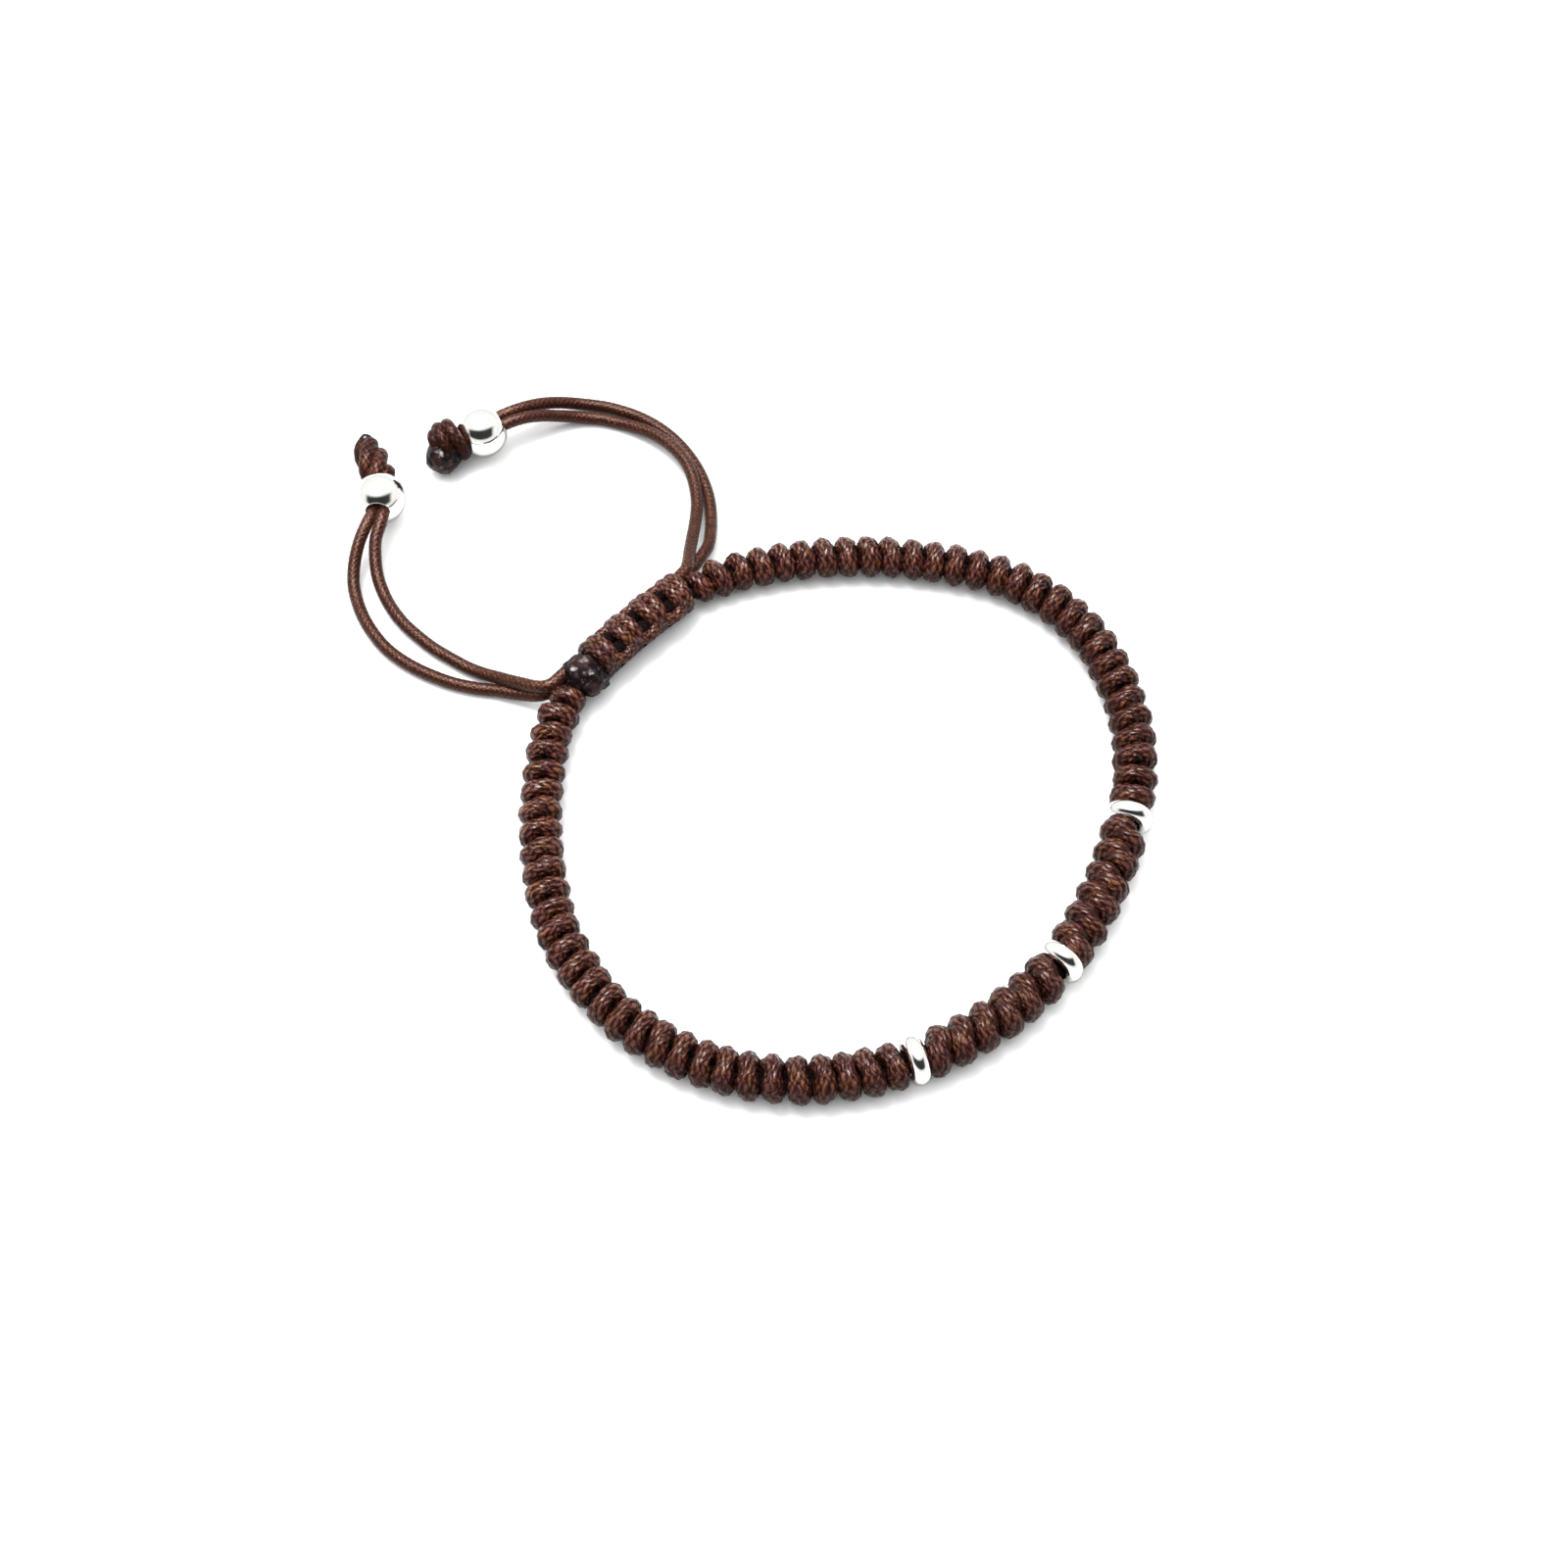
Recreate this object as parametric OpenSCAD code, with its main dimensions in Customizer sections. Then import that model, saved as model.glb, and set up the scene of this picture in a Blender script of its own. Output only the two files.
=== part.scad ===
// Knotted rope bracelet with a sliding square knot, three silver rings and two beaded tails.
// Lengths are millimetres. The bracelet lies flat on the plane z = 0, +Z up, and the origin is
// the middle of the loop on that plane. The loop is followed by s, the length along its centre
// line from the middle of the sliding knot, counter-clockwise seen from above.

/* [Band] */
// Diameter of a full knot beside the three rings
band_d = 4.4; // [3.6:0.1:4.8]
// Diameter of the knots at the two ends of the band, beside the sliding knot
band_end_d = 3.9; // [3.4:0.1:4.4]
// Diameter of the half-hidden first knot that meets the sliding knot
neck_d = 3.0; // [2.6:0.1:3.4]
// Depth of the groove between two knots
groove_depth = 0.4; // [0.2:0.05:0.5]
// Extra depth of the pits between two knots, on top and underneath, where their strands cross
pit_depth = 0.25; // [0:0.05:0.3]

/* [Cord] */
// Diameter of the waxed cord that everything is tied from
cord_d = 1.05; // [0.8:0.05:1.05]

/* [Silver rings] */
// Outside diameter of a ring
ring_d = 4.65; // [4.4:0.05:5]
// Width of a ring along the band
ring_w = 1.8; // [1.4:0.1:1.8]
// Bore of a ring, through which the two core cords run
ring_bore = 2.5; // [2.4:0.1:2.7]

/* [Sliding knot] */
// Width of the sliding knot across its side loops
slide_w = 4.7; // [4:0.1:5]
// Height of the sliding knot over its bars
slide_h = 4.1; // [3.6:0.1:4.4]
// Number of square knots in the sliding knot
slide_knots = 4; // [3:1:5]
// Height of the sliding knot's centre over the surface it lies on
slide_z = 2.5; // [2.4:0.05:2.8]

/* [Beads] */
// Diameter of the round bead on each tail
bead_d = 5; // [4.8:0.1:5]
// Bore of a bead, wide enough for two cords side by side
bead_bore = 2.4; // [2.3:0.05:2.6]
// Tilt of a bead's bore, up towards its cords
bead_tilt = 12; // [0:1:15]

/* [Hidden] */

rope = [0.33, 0.16, 0.12];
dark_rope = [0.22, 0.11, 0.09];
burnt = [0.12, 0.09, 0.10];
silver = [0.86, 0.86, 0.84];

// The centre line of the loop is a chain of arcs, each with its length and its left turn
ARC_LENGTH = 0;
ARC_TURN = 1;
loop_start = [-20.16, 18.08, 227];
loop_arcs = [
    [5.5, 4],
    [7.7, 30],
    [16.8, 22],
    [21.8, 55],
    [11.6, 28],
    [29.5, 56],
    [12.0, 14],
    [17.3, 40],
    [14.5, 47],
    [24.0, 34],
    [6.4, 23],
    [6.8, 7]];
function total_length(i = 0) =
    i == len(loop_arcs) ? 0 : loop_arcs[i][ARC_LENGTH] + total_length(i + 1);
loop_length = total_length();

// Where the pieces sit along the loop
ring_front_s = 71.0;
ring_middle_s = 87.2;
ring_side_s = 103.4;
slide_from = -7.9;
slide_to = 4.8;
melted_to = 7.6;
// Clearance between a band's end and a silver ring
end_gap = 0.12;
// Half the room that a ring takes out of the band
ring_room = ring_w / 2 + end_gap;
// Length of open core cord between a neck and the sliding knot
neck_gap = 0.75;
// Clearance between the sliding knot and what meets it
touch = 0.05;
// Clearance under the band
floor_gap = 0.02;

// The four knotted stretches, from one piece to the next
FROM = 0;
TO = 1;
KNOTS = 2;
FIRST_D = 3;
LAST_D = 4;
NECK = 5;
stretch_left = [melted_to + neck_gap, ring_front_s - ring_room, 30, band_end_d, band_d, "first"];
stretch_front = [ring_front_s + ring_room, ring_middle_s - ring_room, 6, band_d, band_d, "none"];
stretch_side = [ring_middle_s + ring_room, ring_side_s - ring_room, 6, band_d, band_d, "none"];
stretch_back = [ring_side_s + ring_room, loop_length + slide_from - neck_gap, 29, band_d, band_end_d, "last"];

// A knot's rise from groove to crown, taken at these shares of its length
knot_phases = [0, 0.16, 0.5, 0.84];
band_sides = 12;

// Routes of the four tail cords, from the sliding knot to the end knot
tail_left_outer = [
    [-26.35, 13.0, 1.7], [-26.85, 12.4, 1.7], [-27.55, 12.05, 1.65], [-28.5, 11.95, 1.5],
    [-30.2, 12.4, 1.0], [-32.3, 13.0, 0.7], [-34.4, 13.3, 0.55], [-36.4, 13.8, 0.55], [-38.2, 14.5, 0.55],
    [-40.0, 15.4, 0.55], [-41.7, 16.5, 0.55], [-43.2, 17.8, 0.55], [-44.5, 19.4, 0.55],
    [-45.6, 21.2, 0.55], [-46.4, 23.1, 0.6], [-46.9, 25.0, 0.9], [-46.9, 27.0, 1.6],
    [-46.5, 28.9, 2.4], [-45.9, 30.5, 2.95], [-45.4, 32.0, 3.0], [-45.4, 34.2, 2.5],
    [-45.4, 36.4, 1.95]];
tail_left_inner = [
    [-26.35, 13.0, 2.85], [-26.85, 12.45, 2.85], [-27.55, 12.2, 2.7], [-28.5, 12.35, 2.45],
    [-30.0, 13.0, 2.0], [-32.0, 14.0, 1.3], [-33.9, 14.9, 0.8], [-35.6, 15.8, 0.6], [-37.2, 16.8, 0.55],
    [-38.8, 17.9, 0.55], [-40.3, 19.2, 0.55], [-41.7, 20.6, 0.55], [-42.9, 22.2, 0.55],
    [-43.9, 24.0, 0.7], [-44.6, 25.8, 1.1], [-44.9, 27.6, 1.7], [-44.9, 29.3, 2.4],
    [-44.5, 30.8, 2.9], [-44.3, 32.0, 3.0], [-44.3, 34.2, 2.5], [-44.3, 36.7, 1.95]];
tail_back_outer = [
    [-15.1, 24.8, 1.7], [-14.6, 25.4, 1.7], [-13.95, 26.6, 1.6], [-13.2, 28.0, 1.4],
    [-12.6, 29.4, 1.2], [-12.4, 31.2, 0.9], [-12.4, 33.2, 0.6], [-12.6, 35.3, 0.55],
    [-13.1, 37.3, 0.55], [-13.9, 39.3, 0.55], [-15.0, 41.2, 0.55], [-16.3, 42.9, 0.55],
    [-17.9, 44.4, 0.55], [-19.7, 45.6, 0.55], [-21.7, 46.5, 0.55], [-23.8, 47.1, 0.6],
    [-25.9, 47.2, 0.9], [-27.9, 46.8, 1.6], [-29.8, 46.0, 2.4], [-31.7, 44.95, 2.95],
    [-33.65, 43.9, 3.0], [-35.6, 42.85, 2.5], [-37.85, 41.65, 1.95]];
tail_back_inner = [
    [-15.1, 24.8, 2.85], [-14.7, 25.35, 2.8], [-14.5, 26.2, 2.65], [-14.4, 27.4, 2.35],
    [-14.3, 28.7, 2.0],
    [-14.1, 30.5, 1.6], [-13.9, 32.4, 1.3], [-13.8, 34.4, 1.2], [-14.0, 36.4, 1.25],
    [-14.5, 38.3, 1.4], [-15.4, 40.1, 1.45], [-16.7, 41.7, 1.4], [-18.3, 43.1, 1.2],
    [-20.1, 44.2, 0.9], [-22.0, 45.0, 0.6], [-24.0, 45.5, 0.6], [-26.0, 45.5, 0.9],
    [-27.9, 45.1, 1.6], [-29.6, 44.5, 2.4], [-31.3, 43.75, 2.95], [-33.1, 42.9, 3.0],
    [-35.1, 41.85, 2.5], [-37.3, 40.65, 1.95]];
cord_sides = 8;

// Each bead's centre and the direction, seen from above, in which its cords leave it
bead_left_at = [-44.85, 34.2, 2.5];
bead_left_towards_cords = -90;
bead_back_at = [-35.35, 42.35, 2.5];
bead_back_towards_cords = 28;

// The two end knots: first centre, last centre, and their outline in shares of length and radius
end_knot_sides = 12;
end_knot_lobes = 3;
end_knot_lobe = 0.1;
end_knot_twist = 260;
SHARE = 0;
WIDTH = 1;
long_knot_from = [-44.95, 36.85, 2.1];
long_knot_to = [-46.9, 41.7, 1.6];
long_knot_r = 1.85;
long_knot_outline = [[0, 0.62], [0.1, 0.86], [0.25, 0.98], [0.4, 0.96], [0.5, 0.86],
                     [0.62, 0.84], [0.74, 0.72], [0.86, 0.55], [0.95, 0.38], [1, 0.2]];
round_knot_from = [-37.75, 41.05, 2.3];
round_knot_to = [-41.1, 39.6, 2.3];
round_knot_r = 2.1;
round_knot_outline = [[0, 0.62], [0.12, 0.88], [0.3, 0.98], [0.5, 0.98], [0.66, 0.94],
                      [0.8, 0.82], [0.9, 0.6], [1, 0.3]];

// Point and heading at length s along the loop
function arc_point(p, arc, s) =
    let (r = arc[ARC_LENGTH] / (arc[ARC_TURN] * PI / 180),
         a = arc[ARC_TURN] * s / arc[ARC_LENGTH])
    [p.x + r * (sin(p.z + a) - sin(p.z)), p.y - r * (cos(p.z + a) - cos(p.z)), p.z + a];
function walk(s, i, p) =
    s <= loop_arcs[i][ARC_LENGTH] || i == len(loop_arcs) - 1
        ? arc_point(p, loop_arcs[i], s)
        : walk(s - loop_arcs[i][ARC_LENGTH], i + 1,
               arc_point(p, loop_arcs[i], loop_arcs[i][ARC_LENGTH]));
function loop_point(s) = walk(s < 0 ? s + loop_length : s, 0, loop_start);

// One ring of points across the loop at s; radii are listed from the inside of the loop upwards
function loop_ring(s, z, radii) =
    let (p = loop_point(s), n = len(radii))
    [for (i = [0 : n - 1])
        let (a = 360 * i / n)
        [p.x - sin(p.z) * radii[i] * cos(a), p.y + cos(p.z) * radii[i] * cos(a),
         z + radii[i] * sin(a)]];

function mix(a, b, t) = a + (b - a) * t;
// Rise of a knot's back, 0 in the groove and 1 on the crown
function crown(phase) = sqrt(max(0, 1 - pow(2 * phase - 1, 2)));

// A closed solid through rings of equal count, each ring turning about the direction of travel
module sweep(rings) {
    n = len(rings[0]);
    m = len(rings);
    sides = [for (j = [0 : m - 2], i = [0 : n - 1])
        let (k = (i + 1) % n)
        [(j + 1) * n + i, (j + 1) * n + k, j * n + k, j * n + i]];
    first_cap = [[for (i = [0 : n - 1]) i]];
    last_cap = [[for (i = [n - 1 : -1 : 0]) (m - 1) * n + i]];
    polyhedron(points = [for (ring = rings, p = ring) p],
               faces = concat(first_cap, sides, last_cap), convexity = 10);
}

// Diameter of the band at a share of its length, and of knot k in it
function stretch_d(row, t) = mix(row[FIRST_D], row[LAST_D], t);
function is_neck(row, k) =
    (row[NECK] == "first" && k == 0) || (row[NECK] == "last" && k == row[KNOTS] - 1);
function knot_d(row, k) =
    is_neck(row, k) ? neck_d : stretch_d(row, (k + 0.5) / row[KNOTS]);
// The grooves beside a neck are as deep as the neck's own
function groove_r(row, k) =
    let (beside = min(knot_d(row, max(0, k - 1)), knot_d(row, min(k, row[KNOTS] - 1))))
    beside / 2 - groove_depth;
// The strands lie side by side at the two edges and cross on top and underneath, so the knot is
// broad at the edges and narrow there; up is 0 at the edges and 1 on top and underneath
function knot_r(row, k, phase, up) =
    let (edge = groove_r(row, phase < 0.5 ? k : k + 1) - pit_depth * up)
    mix(edge, knot_d(row, k) / 2, pow(crown(phase), 1 + up));

module knotted_stretch(row) {
    pitch = (row[TO] - row[FROM]) / row[KNOTS];
    ups = [for (i = [0 : band_sides - 1]) pow(sin(360 * i / band_sides), 2)];
    function height(t) = stretch_d(row, t) / 2 + floor_gap;
    body = [for (k = [0 : row[KNOTS] - 1], phase = knot_phases)
        loop_ring(row[FROM] + (k + phase) * pitch, height((k + phase) / row[KNOTS]),
                  [for (up = ups) knot_r(row, k, phase, up)])];
    last = loop_ring(row[TO], height(1), [for (up = ups) knot_r(row, row[KNOTS] - 1, 1, up)]);
    color(rope) sweep(concat(body, [last]));
}

module along_loop(s, z) {
    p = loop_point(s);
    translate([p.x, p.y, z]) rotate([0, 0, p.z]) rotate([0, 90, 0]) children();
}

module silver_ring(s) {
    rim_r = ring_w / 2;
    color(silver)
        along_loop(s, ring_d / 2)
            rotate_extrude($fn = 64)
                intersection() {
                    translate([ring_d / 2 - rim_r, 0]) circle(r = rim_r, $fn = 48);
                    translate([ring_bore / 2, -rim_r]) square([ring_d, ring_w]);
                }
}

// Two core cords side by side, fused where they press together, across a gap of the band
module core_cords(s, length, z) {
    spread = cord_d * 0.47;
    color(dark_rope)
        along_loop(s, z)
            for (side = [-1, 1])
                translate([0, side * spread, -length / 2])
                    cylinder(h = length, d = cord_d, $fn = 32);
}

// Rise of a loop or bar, as one bump in each period
function bump(t) = pow(abs(sin(180 * t)), 0.7);

// The sliding knot: side loops at both edges, one bar across the top of every square knot
slide_sides = 16;
slide_steps = 6;
side_loop = 0.42;
bar_rise = 0.38;
function slide_radius(a, t) =
    let (across = cos(a), up = sin(a),
         inner = slide_w / 2 - side_loop * (1 - bump(t)),
         outer = slide_w / 2 - side_loop * (1 - bump(2 * t)),
         top = slide_h / 2 - bar_rise * (1 - bump(t + 0.5)),
         half_w = across > 0 ? inner : outer,
         half_h = up > 0 ? top : slide_h / 2 - bar_rise * (1 - bump(t)))
    1 / pow(pow(abs(across) / half_w, 2.6) + pow(abs(up) / half_h, 2.6), 1 / 2.6);
function slide_ring(s, t, scale) =
    loop_ring(s, slide_z, [for (i = [0 : slide_sides - 1])
        scale * slide_radius(360 * i / slide_sides, t)]);

module sliding_knot() {
    steps = slide_knots * slide_steps;
    color(rope) sweep([for (j = [0 : steps])
        slide_ring(mix(slide_from, slide_to, j / steps), j / slide_steps,
                   j == 0 || j == steps ? 0.86 : 1)]);
}

// The melted ends of the sliding knot's cords, one lump that closes the knot
melted_outline = [[0, 0.88], [0.12, 0.98], [0.3, 1], [0.5, 0.97], [0.7, 0.95], [0.85, 0.9], [1, 0.78]];
module melted_end() {
    from = slide_to + touch;
    color(burnt) sweep([for (row = melted_outline)
        let (swell = 1 + 0.03 * sin(360 * row[SHARE]))
        loop_ring(mix(from, melted_to, row[SHARE]), slide_z,
                  [for (i = [0 : slide_sides - 1])
                      let (a = 360 * i / slide_sides)
                      row[WIDTH] * swell * (slide_w / 2 - 0.1
                          - (slide_w - slide_h) / 2 * abs(sin(a)))])]);
}

// One ring of points across a route, and the tube through all of them
function unit(v) = v / norm(v);
function direction(route, i) =
    unit(route[min(i + 1, len(route) - 1)] - route[max(i - 1, 0)]);
function cross_ring(p, t, radii) =
    let (side = unit(cross([0, 0, 1], t)), up = cross(t, side), n = len(radii))
    [for (i = [0 : n - 1])
        let (a = 360 * i / n)
        p + side * radii[i] * cos(a) + up * radii[i] * sin(a)];

module cord(route) {
    color(rope) sweep([for (i = [0 : len(route) - 1])
        cross_ring(route[i], direction(route, i),
                   [for (k = [1 : cord_sides]) cord_d / 2])]);
}

module end_bead(at, towards_cords) {
    color(silver)
        translate(at) rotate([0, 0, towards_cords]) rotate([0, 90 - bead_tilt, 0])
            difference() {
                sphere(d = bead_d, $fn = 64);
                cylinder(h = bead_d + 2, d = bead_bore, center = true, $fn = 48);
            }
}

// A stopper knot: a lump with three cord turns winding round it
module end_knot(from, to, radius, outline) {
    t = unit(to - from);
    color(dark_rope) sweep([for (row = outline)
        cross_ring(mix(from, to, row[SHARE]), t,
                   [for (i = [0 : end_knot_sides - 1])
                       radius * row[WIDTH] * (1 + end_knot_lobe
                           * cos(end_knot_lobes * 360 * i / end_knot_sides
                                 + end_knot_twist * row[SHARE]))])]);
}

// Middle of a neck's gap, and its width less the clearance at both ends
neck_gap_middle = melted_to + neck_gap / 2;
neck_gap_back = loop_length + slide_from - neck_gap / 2;
neck_core = neck_gap - 2 * touch;
ring_core = 2 * ring_room - 2 * touch;
core_z = band_d / 2 + floor_gap;

knotted_stretch(stretch_left);  // knotted_band_left
knotted_stretch(stretch_front);  // knotted_band_front
knotted_stretch(stretch_side);  // knotted_band_side
knotted_stretch(stretch_back);  // knotted_band_back
silver_ring(ring_front_s);  // silver_ring_front
silver_ring(ring_middle_s);  // silver_ring_middle
silver_ring(ring_side_s);  // silver_ring_side
core_cords(neck_gap_middle, neck_core, core_z);  // core_cords_left_end
core_cords(ring_front_s, ring_core, core_z);  // core_cords_front
core_cords(ring_middle_s, ring_core, core_z);  // core_cords_middle
core_cords(ring_side_s, ring_core, core_z);  // core_cords_side
core_cords(neck_gap_back, neck_core, core_z);  // core_cords_back_end
sliding_knot();
melted_end();
cord(tail_left_outer);  // tail_cord_left_outer
cord(tail_left_inner);  // tail_cord_left_inner
cord(tail_back_outer);  // tail_cord_back_outer
cord(tail_back_inner);  // tail_cord_back_inner
end_bead(bead_left_at, bead_left_towards_cords);  // end_bead_left
end_bead(bead_back_at, bead_back_towards_cords);  // end_bead_back
end_knot(long_knot_from, long_knot_to, long_knot_r, long_knot_outline);  // end_knot_left
end_knot(round_knot_from, round_knot_to, round_knot_r, round_knot_outline);  // end_knot_back
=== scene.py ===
"""A knotted rope bracelet: waxed braided cord, three silver rings, a sliding knot and beaded tails.

Lengths are metres, apart from the constants at the top, which are millimetres and degrees. The
bracelet lies on the plane z = 0. The loop is followed by s, the length along its centre line from the
middle of the sliding knot, counter-clockwise seen from above.
"""

import math

import bmesh
import bpy
from bpy.props import FloatProperty, FloatVectorProperty, IntProperty, PointerProperty
from mathutils import Matrix, Vector, noise


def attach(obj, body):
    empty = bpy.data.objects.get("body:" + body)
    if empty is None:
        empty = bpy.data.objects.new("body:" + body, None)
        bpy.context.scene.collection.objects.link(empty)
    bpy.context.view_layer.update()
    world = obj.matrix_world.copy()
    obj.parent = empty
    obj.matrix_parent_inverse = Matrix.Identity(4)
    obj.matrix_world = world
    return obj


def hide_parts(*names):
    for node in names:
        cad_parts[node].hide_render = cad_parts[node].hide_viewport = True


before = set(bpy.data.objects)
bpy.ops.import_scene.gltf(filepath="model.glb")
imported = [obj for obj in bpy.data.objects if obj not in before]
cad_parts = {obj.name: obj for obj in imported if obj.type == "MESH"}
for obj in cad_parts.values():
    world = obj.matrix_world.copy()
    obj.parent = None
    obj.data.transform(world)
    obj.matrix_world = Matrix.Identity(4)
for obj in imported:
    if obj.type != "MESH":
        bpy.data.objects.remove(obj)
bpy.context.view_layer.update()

bl_info = {
    "name": "Knotted rope bracelet",
    "version": (1, 0, 0),
    "blender": (4, 5, 0),
    "location": "3D View > Sidebar > Bracelet",
    "description": "Dresses a knotted rope bracelet piece by piece",
    "category": "Add Mesh",
}

MM = 0.001
BODY = "root"

# How finely the loop, a cord's route between two of its points, and a turned piece are divided
LOOP_POINTS_PER_MM = 2
ROUTE_STEPS = 6
LATHE_STEPS = 96

# The loop's centre line: where it starts, its first heading, and its arcs with their left turns
LOOP_START = (-20.16, 18.08)
LOOP_HEADING = 227
LOOP_ARCS = (
    (5.5, 4), (7.7, 30), (16.8, 22), (21.8, 55), (11.6, 28), (29.5, 56),
    (12.0, 14), (17.3, 40), (14.5, 47), (24.0, 34), (6.4, 23), (6.8, 7),
)
LOOP_LENGTH = sum(length for length, turn in LOOP_ARCS)

# Where the pieces sit along the loop, and the band's distance from a ring's middle and from the knot
RINGS_AT = {"front": 71.0, "middle": 87.2, "side": 103.4}
RING_ROOM = 1.02
NECK_GAP = 0.1
NO_NECK = -1
MELTED_TO = 7.6
SLIDE_TO = 4.8
SLIDE_FROM = -7.9
SLIDE_AGAIN = LOOP_LENGTH + SLIDE_FROM

# The sliding knot: its height, its bars, and the thickness of its bars' and side loops' strands
SLIDE_Z = 2.5
SLIDE_BARS = (-6.35, -3.1, 0.15, 3.4)
BAR_STRAND = 1.42
INNER_STRAND = 1.2
OUTER_STRAND = 1.15

# The cords inside the sliding knot: where each starts, how far inwards it lies and how high. They are
# thick and near black, as painted shade in the knot's gaps; the last, low on the inner side, stands for
# the shaded underside beneath the inner loops
SLIDE_CORES = ((-6.8, -0.75, 2.85), (-6.8, 0.75, 2.85), (-6.8, -0.75, 1.4), (-6.0, 0.7, 1.1))
SLIDE_CORE_D = 1.5

# The core cords in the band: their places to either side of its middle, how far they show beside a
# ring, and how far they go on inside the sliding knot, the band's ends and each other
CORE_SIDES = (-0.5, 0.5)
CORE_SHOWN = 2.6
CORE_IN_KNOT = 1.0
CORE_IN_BAND = 2.5
CORE_OVERLAP = 0.2

# How far a tail goes on inside the sliding knot. Then, in cord diameters, how full it is before its
# braid is cut in, and the least height of its middle
TAIL_HIDDEN = 1.6
TAIL_FULLNESS = 1.2
TAIL_CENTRE = 0.6

# The length of the braid cells on the sliding knot and on the end knots, in the cord's usual cells
SLIDE_COARSE = 1.35
KNOT_COARSE = 1.25

# Routes of the four tail cords, from the sliding knot to the end knot
TAIL_ROUTES = {
    "left_outer": (
        (-26.35, 13.0, 1.7), (-26.85, 12.4, 1.7), (-27.55, 12.05, 1.65), (-28.5, 11.95, 1.5),
        (-30.2, 12.4, 1.0), (-32.3, 13.0, 0.7), (-34.4, 13.3, 0.55), (-36.4, 13.8, 0.55),
        (-38.2, 14.5, 0.55), (-40.0, 15.4, 0.55), (-41.7, 16.5, 0.55), (-43.2, 17.8, 0.55),
        (-44.5, 19.4, 0.55), (-45.6, 21.2, 0.55), (-46.4, 23.1, 0.6), (-46.9, 25.0, 0.9),
        (-46.9, 27.0, 1.6), (-46.5, 28.9, 2.4), (-45.9, 30.5, 2.95), (-45.4, 32.0, 3.0),
        (-45.4, 34.2, 2.5), (-45.4, 36.4, 1.95),
    ),
    "left_inner": (
        (-26.35, 13.0, 2.85), (-26.85, 12.45, 2.85), (-27.55, 12.2, 2.7), (-28.5, 12.35, 2.45),
        (-30.0, 13.0, 2.0), (-32.0, 14.0, 1.3), (-33.9, 14.9, 0.8), (-35.6, 15.8, 0.6),
        (-37.2, 16.8, 0.55), (-38.8, 17.9, 0.55), (-40.3, 19.2, 0.55), (-41.7, 20.6, 0.55),
        (-42.9, 22.2, 0.55), (-43.9, 24.0, 0.7), (-44.6, 25.8, 1.1), (-44.9, 27.6, 1.7),
        (-44.9, 29.3, 2.4), (-44.5, 30.8, 2.9), (-44.3, 32.0, 3.0), (-44.3, 34.2, 2.5),
        (-44.3, 36.7, 1.95),
    ),
    "back_outer": (
        (-15.1, 24.8, 1.7), (-14.6, 25.4, 1.7), (-13.95, 26.6, 1.6), (-13.2, 28.0, 1.4),
        (-12.6, 29.4, 1.2), (-12.4, 31.2, 0.9), (-12.4, 33.2, 0.6), (-12.6, 35.3, 0.55),
        (-13.1, 37.3, 0.55), (-13.9, 39.3, 0.55), (-15.0, 41.2, 0.55), (-16.3, 42.9, 0.55),
        (-17.9, 44.4, 0.55), (-19.7, 45.6, 0.55), (-21.7, 46.5, 0.55), (-23.8, 47.1, 0.6),
        (-25.9, 47.2, 0.9), (-27.9, 46.8, 1.6), (-29.8, 46.0, 2.4), (-31.7, 44.95, 2.95),
        (-33.65, 43.9, 3.0), (-35.6, 42.85, 2.5), (-37.85, 41.65, 1.95),
    ),
    "back_inner": (
        (-15.1, 24.8, 2.85), (-14.7, 25.35, 2.8), (-14.5, 26.2, 2.65), (-14.4, 27.4, 2.35),
        (-14.3, 28.7, 2.0), (-14.1, 30.5, 1.6), (-13.9, 32.4, 1.3), (-13.8, 34.4, 1.2),
        (-14.0, 36.4, 1.25), (-14.5, 38.3, 1.4), (-15.4, 40.1, 1.45), (-16.7, 41.7, 1.4),
        (-18.3, 43.1, 1.2), (-20.1, 44.2, 0.9), (-22.0, 45.0, 0.6), (-24.0, 45.5, 0.6),
        (-26.0, 45.5, 0.9), (-27.9, 45.1, 1.6), (-29.6, 44.5, 2.4), (-31.3, 43.75, 2.95),
        (-33.1, 42.9, 3.0), (-35.1, 41.85, 2.5), (-37.3, 40.65, 1.95),
    ),
}

# Each bead's centre, and the direction of its bore seen from above
BEADS = {
    "left": ((-44.85, 34.2, 2.5), -90),
    "back": ((-35.35, 42.35, 2.5), 28),
}

# The left end knot: its axis's start and end, its radius, and how often each strand goes round
LEFT_KNOT = ((-44.85, 36.2, 2.1), (-47.15, 41.7, 1.7), 1.95, 0.9)
LEFT_STRAND = 1.6

# The turns of the back end knot: each one's centre, the direction of its bore and its radius
BACK_KNOT = (
    ((-37.95, 41.35, 2.6), 212, 1.6), ((-38.95, 40.95, 2.5), 204, 1.55), ((-39.6, 40.9, 2.4), 194, 0.95),
)
BACK_STRAND = 1.45

# Each end knot's melted tip: its start, end, half-width and half-height
TIPS = {
    "left": ((-46.5, 40.5, 1.7), (-47.35, 42.25, 1.6), 1.0, 1.0),
    "back": ((-38.6, 41.5, 2.2), (-39.4, 38.15, 1.8), 1.8, 1.85),
}

# Where each end knot is charred: the middle of the char, and how far from it the char is full and ends
CHARRED = {
    "left": ((-47.2, 42.0, 1.7), 0.8, 3.6),
    "back": ((-38.9, 39.0, 1.5), 2.6, 5.0),
}

# Noise on a melted lump: its waves to the millimetre, and its fall-off, lacunarity and octaves
LUMPS_PER_MM = 0.75
LUMP_NOISE = (0.9, 2.0, 4)


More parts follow.
